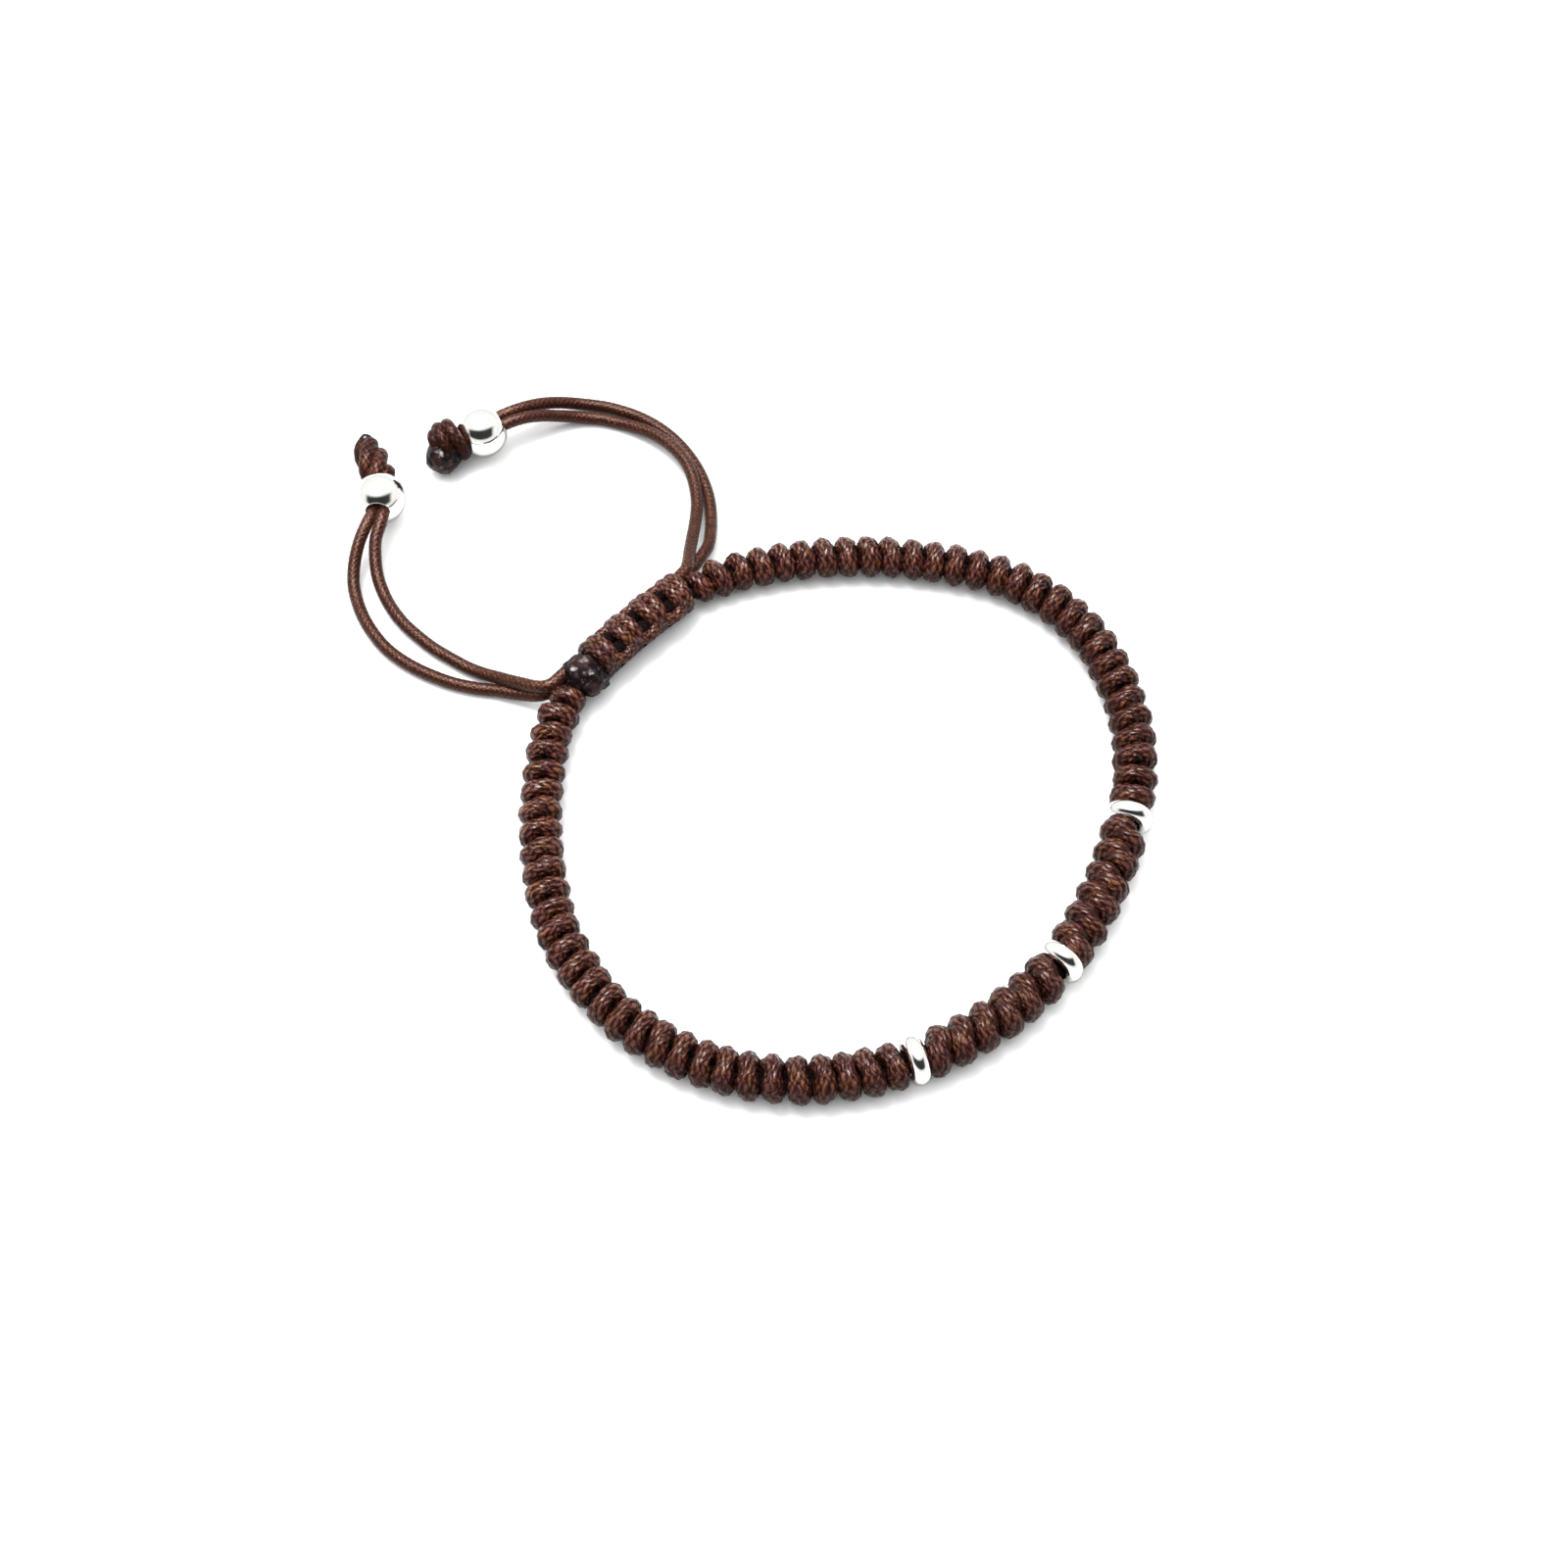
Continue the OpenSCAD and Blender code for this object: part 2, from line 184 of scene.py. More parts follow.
class BandSettings(bpy.types.PropertyGroup):
    """Sizes of the knotted band."""

    full_d: FloatProperty(name="Full knot", description="Diameter of a knot beside the rings",
                          default=4.4 * MM, unit="LENGTH")
    end_d: FloatProperty(name="End knot", description="Diameter of the knots beside the sliding knot",
                         default=3.9 * MM, unit="LENGTH")
    neck_d: FloatProperty(name="Neck", description="Diameter of the first knot at either end",
                          default=3.5 * MM, unit="LENGTH")
    lobe: FloatProperty(name="Lobe", description="Thickness of a knot's lobe as a share of its length",
                        default=1.02)
    cell: FloatProperty(name="Lobe cell", description="Length of one cell of a lobe's braid",
                        default=0.85 * MM, unit="LENGTH")
    squareness: FloatProperty(name="Squareness", description="2 for a round lobe, more for a squarer one",
                              default=2.7, min=2.0, max=8.0)
    dive: FloatProperty(name="Dive", description="How deep a lobe's end goes under the opposite lobe",
                        default=0.95 * MM, unit="LENGTH")
    taper: FloatProperty(name="Taper", description="How much thinner a lobe is where it goes under",
                         default=0.42, min=0.0, max=0.8)
    unevenness: FloatProperty(name="Unevenness", description="How much the knots differ from each other",
                              default=1.0, min=0.0, max=2.0)
    seed: IntProperty(name="Seed", description="Picks the knots' differences", default=7)


class CordSettings(bpy.types.PropertyGroup):
    """Sizes and colours of the waxed cord."""

    cord_d: FloatProperty(name="Cord", description="Diameter of the waxed cord",
                          default=1.05 * MM, unit="LENGTH")
    cell: FloatProperty(name="Braid cell", description="Length of one cell of the braid",
                        default=0.55 * MM, unit="LENGTH")
    relief: FloatProperty(name="Braid relief", description="Depth of the creases between two yarns",
                          default=0.12 * MM, unit="LENGTH")
    yarn: FloatVectorProperty(name="Yarn", description="Colour of the waxed yarn on its crowns",
                              default=(0.12, 0.032, 0.017), size=3, subtype="COLOR")
    # Painted shade: the colour that the braid's creases are darkened to
    crease_shade: FloatVectorProperty(name="Painted crease shade", description="Colour in the creases of the braid",
                                default=(0.012, 0.003, 0.0025), size=3, subtype="COLOR")
    melt: FloatVectorProperty(name="Melted cord", description="Colour of the melted, hardened cord",
                              default=(0.006, 0.0035, 0.0045), size=3, subtype="COLOR")


class SilverSettings(bpy.types.PropertyGroup):
    """Sizes and colour of the silver rings and beads."""

    ring_d: FloatProperty(name="Ring", description="Outside diameter of a ring",
                          default=4.65 * MM, unit="LENGTH")
    ring_w: FloatProperty(name="Ring width", description="Width of a ring along the band",
                          default=1.8 * MM, unit="LENGTH")
    ring_bore: FloatProperty(name="Ring bore", description="Bore of a ring",
                             default=2.5 * MM, unit="LENGTH")
    bead_d: FloatProperty(name="Bead", description="Diameter of a round bead",
                          default=5.0 * MM, unit="LENGTH")
    bead_bore: FloatProperty(name="Bead bore", description="Bore of a bead",
                             default=2.4 * MM, unit="LENGTH")
    bead_tilt: FloatProperty(name="Bead tilt", description="Tilt of a bead's bore",
                             default=math.radians(12), subtype="ANGLE")
    metal: FloatVectorProperty(name="Silver", description="Colour of the polished silver",
                               default=(0.9, 0.9, 0.87), size=3, subtype="COLOR")


class StageSettings(bpy.types.PropertyGroup):
    """Camera, floor and light."""

    elevation: FloatProperty(name="Elevation", description="Angle at which the camera looks down",
                             default=math.radians(60), subtype="ANGLE")
    distance: FloatProperty(name="Distance", description="From the camera to the point it looks at",
                            default=227.3 * MM, unit="LENGTH")
    target: FloatVectorProperty(name="Target", description="Point that the camera looks at",
                                default=(-5.2 * MM, 3.2 * MM, 0.0), size=3, subtype="TRANSLATION")
    lens: FloatProperty(name="Lens", description="Focal length on a sensor 36 mm wide",
                        default=56.25)
    sky: FloatProperty(name="Sky", description="Strength of the even white light", default=1.9)
    overhead: FloatProperty(name="Overhead", description="Extra strength of the white cloth overhead",
                            default=34.0)
    key: FloatProperty(name="Key light", description="Power of the soft light overhead", default=1.2)


# Points, curves and meshes

def loop_place(s):
    """The centre line's point and heading at s millimetres, wrapped round the loop."""
    s = s % LOOP_LENGTH
    x, y = LOOP_START
    heading = math.radians(LOOP_HEADING)
    for length, degrees in LOOP_ARCS:
        turn = math.radians(degrees)
        radius = length / turn
        part = min(s / length, 1)
        last = heading + turn * part
        x += radius * (math.sin(last) - math.sin(heading))
        y -= radius * (math.cos(last) - math.cos(heading))
        heading = last
        if s <= length:
            break
        s -= length
    return x, y, heading


def loop_point(s, inward, z):
    """The point at s, so far towards the inside of the loop and so high, all in millimetres."""
    x, y, heading = loop_place(s)
    return Vector((x - inward * math.sin(heading), y + inward * math.cos(heading), z)) * MM


def loop_line(first, last, inward, z, count):
    """A line that runs along the loop, at one distance from its centre line."""
    return [loop_point(first + (last - first) * i / count, inward, z) for i in range(count + 1)]


def smooth_route(points):
    """A smooth line through points given in millimetres."""
    knots = [Vector(p) * MM for p in points]
    knots = [2 * knots[0] - knots[1]] + knots + [2 * knots[-1] - knots[-2]]
    line = []
    for a, b, c, d in zip(knots, knots[1:], knots[2:], knots[3:]):
        for step in range(ROUTE_STEPS):
            t = step / ROUTE_STEPS
            line.append(0.5 * (2 * b + (c - a) * t + (2 * a - 5 * b + 4 * c - d) * t ** 2
                               + (3 * b - a - 3 * c + d) * t ** 3))
    return line + [knots[-2]]


def route_length(line):
    return sum((b - a).length for a, b in zip(line, line[1:]))


def show(obj):
    bpy.context.scene.collection.objects.link(obj)
    return obj


def guide(name, lines, closed):
    """A curve object that only guides a node tree, and is removed afterwards."""
    curve = bpy.data.curves.new(name, "CURVE")
    curve.dimensions = "3D"
    for line in lines:
        spline = curve.splines.new("POLY")
        spline.points.add(len(line) - 1)
        for point, place in zip(spline.points, line):
            point.co = (*place, 1)
        spline.use_cyclic_u = closed
    return show(bpy.data.objects.new(name, curve))


def piece(obj, slot, *nodes):
    """Attaches a finished piece to the bracelet, and hides the solids named, which it stands for."""
    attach(obj, BODY)
    if nodes:
        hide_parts(*nodes)
    return obj


def finished(name, mesh, material):
    """The object of a mesh, shaded smooth and given the material of that name."""
    mesh.polygons.foreach_set("use_smooth", [True] * len(mesh.polygons))
    mesh.materials.append(look(material))
    return show(bpy.data.objects.new(name, mesh))


def bored_profile(middle, radius, bore, steps):
    """The arc of a ring's or bead's outside from one rim of its bore to the other."""
    limit = math.acos((bore - middle) / radius)
    turns = [limit * (2 * step / steps - 1) for step in range(steps + 1)]
    return [(middle + radius * math.cos(turn), radius * math.sin(turn)) for turn in turns]


def threaded(name, profile, centre, heading, tilt):
    """A silver piece on a cord: (radius, height) points turned about a bore along the heading."""
    matrix = (Matrix.Translation(centre) @ Matrix.Rotation(heading, 4, "Z")
              @ Matrix.Rotation(math.pi / 2 - tilt, 4, "Y"))
    mesh = bpy.data.meshes.new(name)
    rows = len(profile)
    verts = []
    faces = []
    for step in range(LATHE_STEPS):
        turn = 2 * math.pi * step / LATHE_STEPS
        for radius, height in profile:
            verts.append(matrix @ Vector((radius * math.cos(turn), radius * math.sin(turn), height)))
        here = step * rows
        there = (step + 1) % LATHE_STEPS * rows
        for row in range(rows):
            after = (row + 1) % rows
            faces.append((here + row, there + row, there + after, here + after))
    mesh.from_pydata(verts, [], faces)
    return finished(name, mesh, "polished silver")


# Node trees

def feed(tree, value, socket):
    """Links an output to a socket, or sets the socket to a plain value."""
    if isinstance(value, Number):
        value = value.socket
    if isinstance(value, bpy.types.NodeSocket):
        tree.links.new(value, socket)
    else:
        socket.default_value = value


def output_of(tree, kind, inputs=None, output=0, **settings):
    """Adds a node with its settings, feeds its inputs, given by name or number, and gives an output."""
    node = tree.nodes.new(kind)
    for name, value in settings.items():
        setattr(node, name, value)
    for key, value in (inputs or {}).items():
        feed(tree, value, node.inputs[key])
    return node.outputs[output]


def number_of(tree, kind, inputs=None, output=0, **settings):
    """The same, with the output as a Number."""
    return Number(tree, output_of(tree, kind, inputs, output, **settings))


def reckon(tree, operation, *values):
    return number_of(tree, "ShaderNodeMath", dict(enumerate(values)), operation=operation)


class Number:
    """A number in a node tree. A formula with it adds the Math nodes that work it out."""

    def __init__(self, tree, socket):
        self.tree = tree
        self.socket = socket

    def step(self, operation, *others):
        return reckon(self.tree, operation, self, *others)

    def __add__(self, other):
        return self.step("ADD", other)

    def __sub__(self, other):
        return self.step("SUBTRACT", other)

    def __rsub__(self, other):
        return reckon(self.tree, "SUBTRACT", other, self)

    def __mul__(self, other):
        return self.step("MULTIPLY", other)

    def __truediv__(self, other):
        return self.step("DIVIDE", other)

    def __pow__(self, other):
        return self.step("POWER", other)

    __radd__ = __add__
    __rmul__ = __mul__

    def sin(self):
        return self.step("SINE")

    def cos(self):
        return self.step("COSINE")

    def size(self):
        return self.step("ABSOLUTE")

    def floor(self):
        return self.step("FLOOR")

    def between(self, low, high):
        """0 below low, 1 above high and a smooth rise between them."""
        return number_of(self.tree, "ShaderNodeMapRange",
                         {"Value": self, "From Min": low, "From Max": high},
                         interpolation_type="SMOOTHSTEP")


def vector(tree, x, y, z):
    return output_of(tree, "ShaderNodeCombineXYZ", {0: x, 1: y, 2: z})


def vector_step(tree, operation, first, second):
    """A vector worked out from two, or from one and a number where it is scaled."""
    key = "Scale" if operation == "SCALE" else 1
    return output_of(tree, "ShaderNodeVectorMath", {0: first, key: second}, operation=operation)


def split(tree, socket):
    """The x, y and z of a vector, as Numbers."""
    node = output_of(tree, "ShaderNodeSeparateXYZ", {0: socket}).node
    return [Number(tree, output) for output in node.outputs]


def sockets(tree, direction, rows):
    for name, kind, default in rows:
        socket = tree.interface.new_socket(name, in_out=direction, socket_type="NodeSocket" + kind)
        if default is not None:
            socket.default_value = default


def new_tree(name, kind, inlets, outlets):
    """A node tree with its sockets: the tree, its inlets by name and its output node."""
    tree = bpy.data.node_groups.new(name, kind)
    sockets(tree, "INPUT", inlets)
    sockets(tree, "OUTPUT", outlets)
    start = tree.nodes.new("NodeGroupInput")
    given = {name: Number(tree, start.outputs[name]) for name, kind, default in inlets}
    return tree, given, tree.nodes.new("NodeGroupOutput")


def group_node(tree, name, values):
    """Places a node group that is built already, with its values."""
    node = tree.nodes.new(tree.bl_idname.replace("NodeTree", "NodeGroup"))
    node.node_tree = bpy.data.node_groups[name]
    for key, value in values.items():
        feed(tree, value, node.inputs[key])
    return node


YARN_ROUNDNESS = 1.2


def braid_height(along, around):
    """Height, 0 to 1, of two crossing sets of yarns at a place counted in cells."""
    left = (around + along) * math.pi
    right = (around - along) * math.pi
    over = left.sin() * right.sin()
    left_yarn = (over + 1) * 0.5 * left.sin().size() ** YARN_ROUNDNESS
    right_yarn = (1 - over) * 0.5 * right.sin().size() ** YARN_ROUNDNESS
    return left_yarn.step("MAXIMUM", right_yarn)


# Node trees that make the cords

# How many faces a cell of the braid has each way, the sockets of the trees, and the stored names
STEPS_PER_CELL = 5
CORD_SIZES = [
    ("Diameter", "Float", 1.05 * MM), ("Cell", "Float", 0.55 * MM), ("Relief", "Float", 0.1 * MM),
    ("Cells around", "Int", 6), ("Squareness", "Float", 2.0),
]
CORD_INLETS = [("Geometry", "Geometry", None), ("Path", "Object", None), ("Material", "Material", None)]
BRAID_UV = "Braid"
# The stored share of painted shade on tucked cord, also used for real char near a melted end
TUCK_SHADE_AND_CHAR = "Tuck"


def stored(tree, geometry, name, value, domain="POINT", kind="FLOAT"):
    """The geometry with an attribute stored on it."""
    return output_of(tree, "GeometryNodeStoreNamedAttribute",
                     {"Geometry": geometry, "Name": name, "Value": value}, data_type=kind, domain=domain)


def named(tree, name):
    return number_of(tree, "GeometryNodeInputNamedAttribute", {"Name": name}, data_type="FLOAT")


def past_the_seam(tree, value, whole):
    """A face's corner value, raised by a whole turn where the face closes the seam."""
    mean = number_of(tree, "GeometryNodeFieldOnDomain", {0: value}, data_type="FLOAT", domain="FACE")
    return value + (mean - value).step("GREATER_THAN", whole * 0.25) * whole


def braided_cord_tree():
    """Turns every spline into a braided cord with relief and a UV map counted in braid cells."""
    tree, given, end = new_tree("Braided cord", "GeometryNodeTree",
                                [("Curve", "Geometry", None)] + CORD_SIZES, [("Cord", "Geometry", None)])
    along, around, cells = (named(tree, name) for name in ("along", "around", "cells"))
    length = number_of(tree, "GeometryNodeSplineLength")
    closed = number_of(tree, "GeometryNodeInputSplineCyclic")
    whole_cells = (length / given["Cell"]).step("ROUND").step("MAXIMUM", 2)
    counted = stored(tree, given["Curve"], "cells", whole_cells, domain="CURVE")
    even = output_of(tree, "GeometryNodeResampleCurve",
                     {"Curve": counted, "Count": cells * STEPS_PER_CELL + (1 - closed)})
    spot = number_of(tree, "GeometryNodeSplineParameter", output="Index")
    line = stored(tree, even, "along", spot / STEPS_PER_CELL)
    circle = output_of(tree, "GeometryNodeCurvePrimitiveCircle",
                       {"Resolution": given["Cells around"] * STEPS_PER_CELL, "Radius": 1.0})
    place = output_of(tree, "GeometryNodeInputPosition")
    x, y = split(tree, place)[:2]
    # The outline is round where the power is 2, and squarer with flat sides where it is more
    power = given["Squareness"]
    reach = (x.size() ** power + y.size() ** power) ** (power ** -1 * -1) * given["Diameter"] * 0.5
    outline = output_of(tree, "GeometryNodeSetPosition",
                        {"Geometry": circle, "Position": vector_step(tree, "SCALE", place, reach)})
    corner = number_of(tree, "GeometryNodeInputIndex")
    profile = stored(tree, outline, "around", corner / STEPS_PER_CELL)
    thickness = output_of(tree, "GeometryNodeInputRadius")
    tube = output_of(tree, "GeometryNodeCurveToMesh", {"Curve": line, "Profile Curve": profile,
                                                       "Scale": thickness, "Fill Caps": True})
    uv = vector(tree, past_the_seam(tree, along, cells),
                past_the_seam(tree, around, given["Cells around"]), 0.0)
    mapped = stored(tree, tube, BRAID_UV, uv, domain="CORNER", kind="FLOAT2")
    depth = (braid_height(along, around) - 1) * given["Relief"]
    normal = output_of(tree, "GeometryNodeInputNormal")
    raised = output_of(tree, "GeometryNodeSetPosition",
                       {"Geometry": mapped, "Offset": vector_step(tree, "SCALE", normal, depth)})
    shape = output_of(tree, "GeometryNodeSetShadeSmooth", {"Geometry": raised})
    for name in ("cells", "along", "around"):
        shape = output_of(tree, "GeometryNodeRemoveAttribute", {"Geometry": shape, "Name": name})
    feed(tree, shape, end.inputs[0])


def finish_cords(tree, given, end, curve):
    """The tree's last nodes: braid the curve, realize it and give it its material."""
    sizes = {name: given[name] for name, kind, default in CORD_SIZES}
    cord = group_node(tree, "Braided cord", {"Curve": curve, **sizes})
    real = output_of(tree, "GeometryNodeRealizeInstances", {0: cord.outputs[0]})
    painted = output_of(tree, "GeometryNodeSetMaterial",
                        {"Geometry": real, "Material": given["Material"]})
    feed(tree, painted, end.inputs[0])


def path_of(tree, given):
    return output_of(tree, "GeometryNodeObjectInfo", {"Object": given["Path"]}, "Geometry")


def cord_tree():
    """Cords that follow the path's splines."""
    tree, given, end = new_tree("Cords on a path", "GeometryNodeTree", CORD_INLETS + CORD_SIZES,
                                [("Geometry", "Geometry", None)])
    finish_cords(tree, given, end, path_of(tree, given))


# The points of a lobe's line, and how far it goes round on either side of its middle
LOBE_POINTS = 40
LOBE_REACH = math.radians(138)

# Where a lobe dives, thins and is painted dark as shade under the opposite lobe, as shares of the way
# from its middle to either end
DIVES_OVER = (0.58, 1.0)
THINS_OVER = (0.12, 0.85)
SHADE_PAINTED_OVER = (0.4, 0.8)

# How much one lobe may differ from the next: its turn in radians, its size, and its lean two ways
TURN_SPREAD = 0.12
SIZE_SPREAD = 0.02
SIDE_LEAN = 0.12 * MM
RISE_LEAN = 0.16 * MM


def band_tree():
    """A stretch of knots: each has a lobe of cord round the inner edge and one round the outer."""
    tree, given, end = new_tree(
        "Knotted band", "GeometryNodeTree",
        CORD_INLETS + CORD_SIZES + [
            ("From", "Float", 0.0), ("To", "Float", 0.01), ("Knots", "Int", 6),
            ("First diameter", "Float", 4.4 * MM), ("Last diameter", "Float", 4.4 * MM),
            ("Neck diameter", "Float", 3.0 * MM), ("Neck knot", "Int", -1), ("Stagger", "Float", 0.0),
            ("Dive", "Float", 0.95 * MM), ("Taper", "Float", 0.4), ("Unevenness", "Float", 1.0),
            ("Seed", "Int", 7)],
        [("Geometry", "Geometry", None)])
    points = output_of(tree, "GeometryNodePoints", {"Count": given["Knots"] * 2})
    straight = output_of(tree, "GeometryNodeCurvePrimitiveLine")
    line = output_of(tree, "GeometryNodeResampleCurve", {"Curve": straight, "Count": LOBE_POINTS})
    lobes = output_of(tree, "GeometryNodeInstanceOnPoints", {"Points": points, "Instance": line})
    real = output_of(tree, "GeometryNodeRealizeInstances", {0: lobes})
    lobe = number_of(tree, "GeometryNodeCurveOfPoint", output="Curve Index")
    step = number_of(tree, "GeometryNodeCurveOfPoint", output="Index in Curve")
    sweep = step * (2 / (LOBE_POINTS - 1)) - 1
    knot = (lobe / 2).floor()
    side = 1 - (lobe - knot * 2) * 2

    def chance(spread, offset):
        """A number that differs from lobe to lobe, within spread on either side of 0."""
        drawn = number_of(tree, "FunctionNodeRandomValue",
                          {2: -spread, 3: spread, "ID": lobe, "Seed": given["Seed"] + offset}, 1,
                          data_type="FLOAT")
        return drawn * given["Unevenness"]

    share = (knot + 0.5) / given["Knots"]
    tapering = given["First diameter"] + (given["Last diameter"] - given["First diameter"]) * share
    is_neck = 1 - (knot - given["Neck knot"]).size().step("MINIMUM", 1)
    knot_d = tapering + (given["Neck diameter"] - tapering) * is_neck
    angle = sweep * LOBE_REACH + chance(TURN_SPREAD, 1)
    across = angle.cos() * side
    up = angle.sin()
    tucked = sweep.size().between(*DIVES_OVER) * given["Dive"]
    thickness = 1 - sweep.size().between(*THINS_OVER) * given["Taper"]
    radius = (knot_d * (1 + chance(SIZE_SPREAD, 2)) - given["Diameter"] * thickness) * 0.5 - tucked
    pitch = (given["To"] - given["From"]) / given["Knots"]
    lean = across * chance(SIDE_LEAN, 3) + up * chance(RISE_LEAN, 4)
    s = given["From"] + (knot + 0.5) * pitch - side * given["Stagger"] * 0.5 + lean
    place = output_of(tree, "GeometryNodeSampleCurve", {"Curves": path_of(tree, given), "Length": s},
                      "Position", mode="LENGTH")
    inward = vector_step(tree, "CROSS_PRODUCT", (0, 0, 1), place.node.outputs["Tangent"])
    sideways = vector_step(tree, "SCALE", inward, radius * across)
    lifted = vector(tree, 0.0, 0.0, radius * up + tapering * 0.5)
    spot = vector_step(tree, "ADD", vector_step(tree, "ADD", place, sideways), lifted)
    bent = output_of(tree, "GeometryNodeSetPosition", {"Geometry": real, "Position": spot})
    thinned = output_of(tree, "GeometryNodeSetCurveRadius", {"Curve": bent, "Radius": thickness})
    # Painted shade where a lobe's ends go under the opposite lobe
    marked = stored(tree, thinned, TUCK_SHADE_AND_CHAR, sweep.size().between(*SHADE_PAINTED_OVER))
    finish_cords(tree, given, end, marked)


def made_by(tree_name, name, values):
    """The plain mesh object that a node tree makes from the values of its named inputs."""
    tree = bpy.data.node_groups[tree_name]
    obj = show(bpy.data.objects.new(name, bpy.data.meshes.new(name)))
    modifier = obj.modifiers.new(tree.name, "NODES")
    modifier.node_group = tree
    for item in tree.interface.items_tree:
        if item.in_out == "INPUT" and item.name in values:
            modifier[item.identifier] = values[item.name]
    graph = bpy.context.evaluated_depsgraph_get()
    mesh = bpy.data.meshes.new_from_object(obj.evaluated_get(graph), preserve_all_data_layers=True,
                                           depsgraph=graph)
    obj.modifiers.remove(modifier)
    empty = obj.data
    obj.data = mesh
    mesh.name = name
    bpy.data.meshes.remove(empty)
    return obj


def cords(name, lines, closed, diameter, material, coarse=1.0):
    """A mesh of braided cords along the lines, with cells so many times as long as usual."""
    settings = bpy.context.scene.bracelet_cord
    cell = settings.cell * coarse
    path = guide(name + "_path", lines, closed)
    obj = made_by("Cords on a path", name, {
        "Path": path, "Diameter": diameter, "Cell": cell, "Relief": settings.relief * coarse ** 2 / 4,
        "Cells around": max(6, round(math.pi * diameter / cell)), "Material": look(material)})
    bpy.data.objects.remove(path)
    return obj


# Materials

def rgba(colour):
    return (*colour, 1.0)


def shade_of(colour, factor):
    return tuple(c * factor for c in colour)


def blend(tree, share, low, high):
    """The colour at a share from 0 to 1 of the way between two colours."""
    return output_of(tree, "ShaderNodeMix", {0: share, 6: low, 7: high}, 2, data_type="RGBA")


def noise_on(tree, scale, detail):
    """Noise on Object coordinates, around 0.5."""
    spot = output_of(tree, "ShaderNodeTexCoord", output="Object")
    return number_of(tree, "ShaderNodeTexNoise", {"Vector": spot, "Scale": scale, "Detail": detail})


def bumps(tree, height, depth, strength=1.0):
    """A normal bent by a height from 0 to 1, over a depth in metres."""
    return output_of(tree, "ShaderNodeBump", {"Strength": strength, "Distance": depth, "Height": height})


def new_material(name):
    material = bpy.data.materials.new(name)
    material.use_nodes = True
    return material


def look(name):
    return bpy.data.materials[name]


def set_shader(material, values):
    """Sets the Principled shader's sockets to plain values, or links outputs to them."""
    tree = material.node_tree
    shader = tree.nodes["Principled BSDF"]
    for key, value in values.items():
        feed(tree, value, shader.inputs[key])


# Waves or cells to the metre in the patterns of the finishes
FIBRE_GRAIN = 5200.0
MELT_WAVES = 1300.0
MELT_PATCHES = 520.0
MELT_SPECKS = 2400.0
POLISH_WAVES = 700.0
STRANDS_PER_YARN = 4


def braid_group():
    """Height, crowns and fine streaks of unevenly braided yarn, at a place counted in cells."""
    tree, given, end = new_tree(
        "Braided yarns", "ShaderNodeTree",
        [("Place", "Vector", None), ("Unevenness", "Float", 1.2), ("Grain", "Float", 1100.0)],
        [("Height", "Float", None), ("Crown", "Float", None), ("Streak", "Float", None)])
    grain = noise_on(tree, given["Grain"], 2.0)
    pull = vector_step(tree, "SUBTRACT", grain.socket.node.outputs["Color"], (0.5, 0.5, 0.5))
    scaled = vector_step(tree, "SCALE", pull, given["Unevenness"])
    along, around = split(tree, vector_step(tree, "ADD", given["Place"], scaled))[:2]
    height = braid_height(along, around)
    left = (around + along) * math.pi
    right = (around - along) * math.pi
    over = (left.sin() * right.sin()).step("GREATER_THAN", 0.0)
    lines = (left * STRANDS_PER_YARN).sin() * over + (right * STRANDS_PER_YARN).sin() * (1 - over)
    feed(tree, height + (grain - 0.5) * given["Unevenness"] * 2.4, end.inputs["Height"])
    feed(tree, height.between(0.15, 1.0), end.inputs["Crown"])
    feed(tree, lines * 0.5 + 0.5, end.inputs["Streak"])


def dye_group():
    """Uneven dye and wax: a colour that drifts between two tones, and a mask of duller wax.
    Its last input paints the colour lighter and paler, as painted light on the cord's tops.
    """
    tree, given, end = new_tree(
        "Dye and wax", "ShaderNodeTree",
        [("Tone", "Color", (0.1, 0.03, 0.02, 1)), ("Drift", "Float", 0.9), ("Size", "Float", 800.0),
         ("Painted top light", "Float", 0.0)],
        [("Color", "Color", None), ("Wax", "Float", None)])
    fine = noise_on(tree, FIBRE_GRAIN, 2.0)
    shift = (noise_on(tree, given["Size"], 3.0) - 0.5) * 2 * given["Drift"]
    light = (fine - 0.5) * given["Drift"]
    toned = output_of(tree, "ShaderNodeHueSaturation",
                      {"Color": given["Tone"], "Hue": 0.5 + shift * 0.05,
                       "Saturation": 1.0 + shift * 0.25 - given["Painted top light"] * 0.2,
                       "Value": (1.0 + shift * 0.6 + light) * (1.0 + given["Painted top light"])})
    feed(tree, toned, end.inputs["Color"])
    feed(tree, fine.between(0.35, 0.65), end.inputs["Wax"])


WARM_GLINT = (1.0, 0.6, 0.46)
GREY_SHEEN = (0.8, 0.74, 0.7)

# Painted shade and painted light by height: the cord is painted darker low down and lighter and paler
# high up. The band thins towards the sliding knot at the back left, where its tops lie lower, so the
# painted shade starts lower there. The first pair is a place's distance to the back less its distance
# to the right, the other two are the heights over which the painted shade lifts and the painted top
# light comes in
THINS_BETWEEN = (-30 * MM, 38 * MM)
TOPS_LOWER = 1.2 * MM
PAINTED_SHADE_LIFTS_BETWEEN = (2.85 * MM, 4.75 * MM)
PAINTED_TOP_LIGHT_BETWEEN = (1.8 * MM, 4.2 * MM)


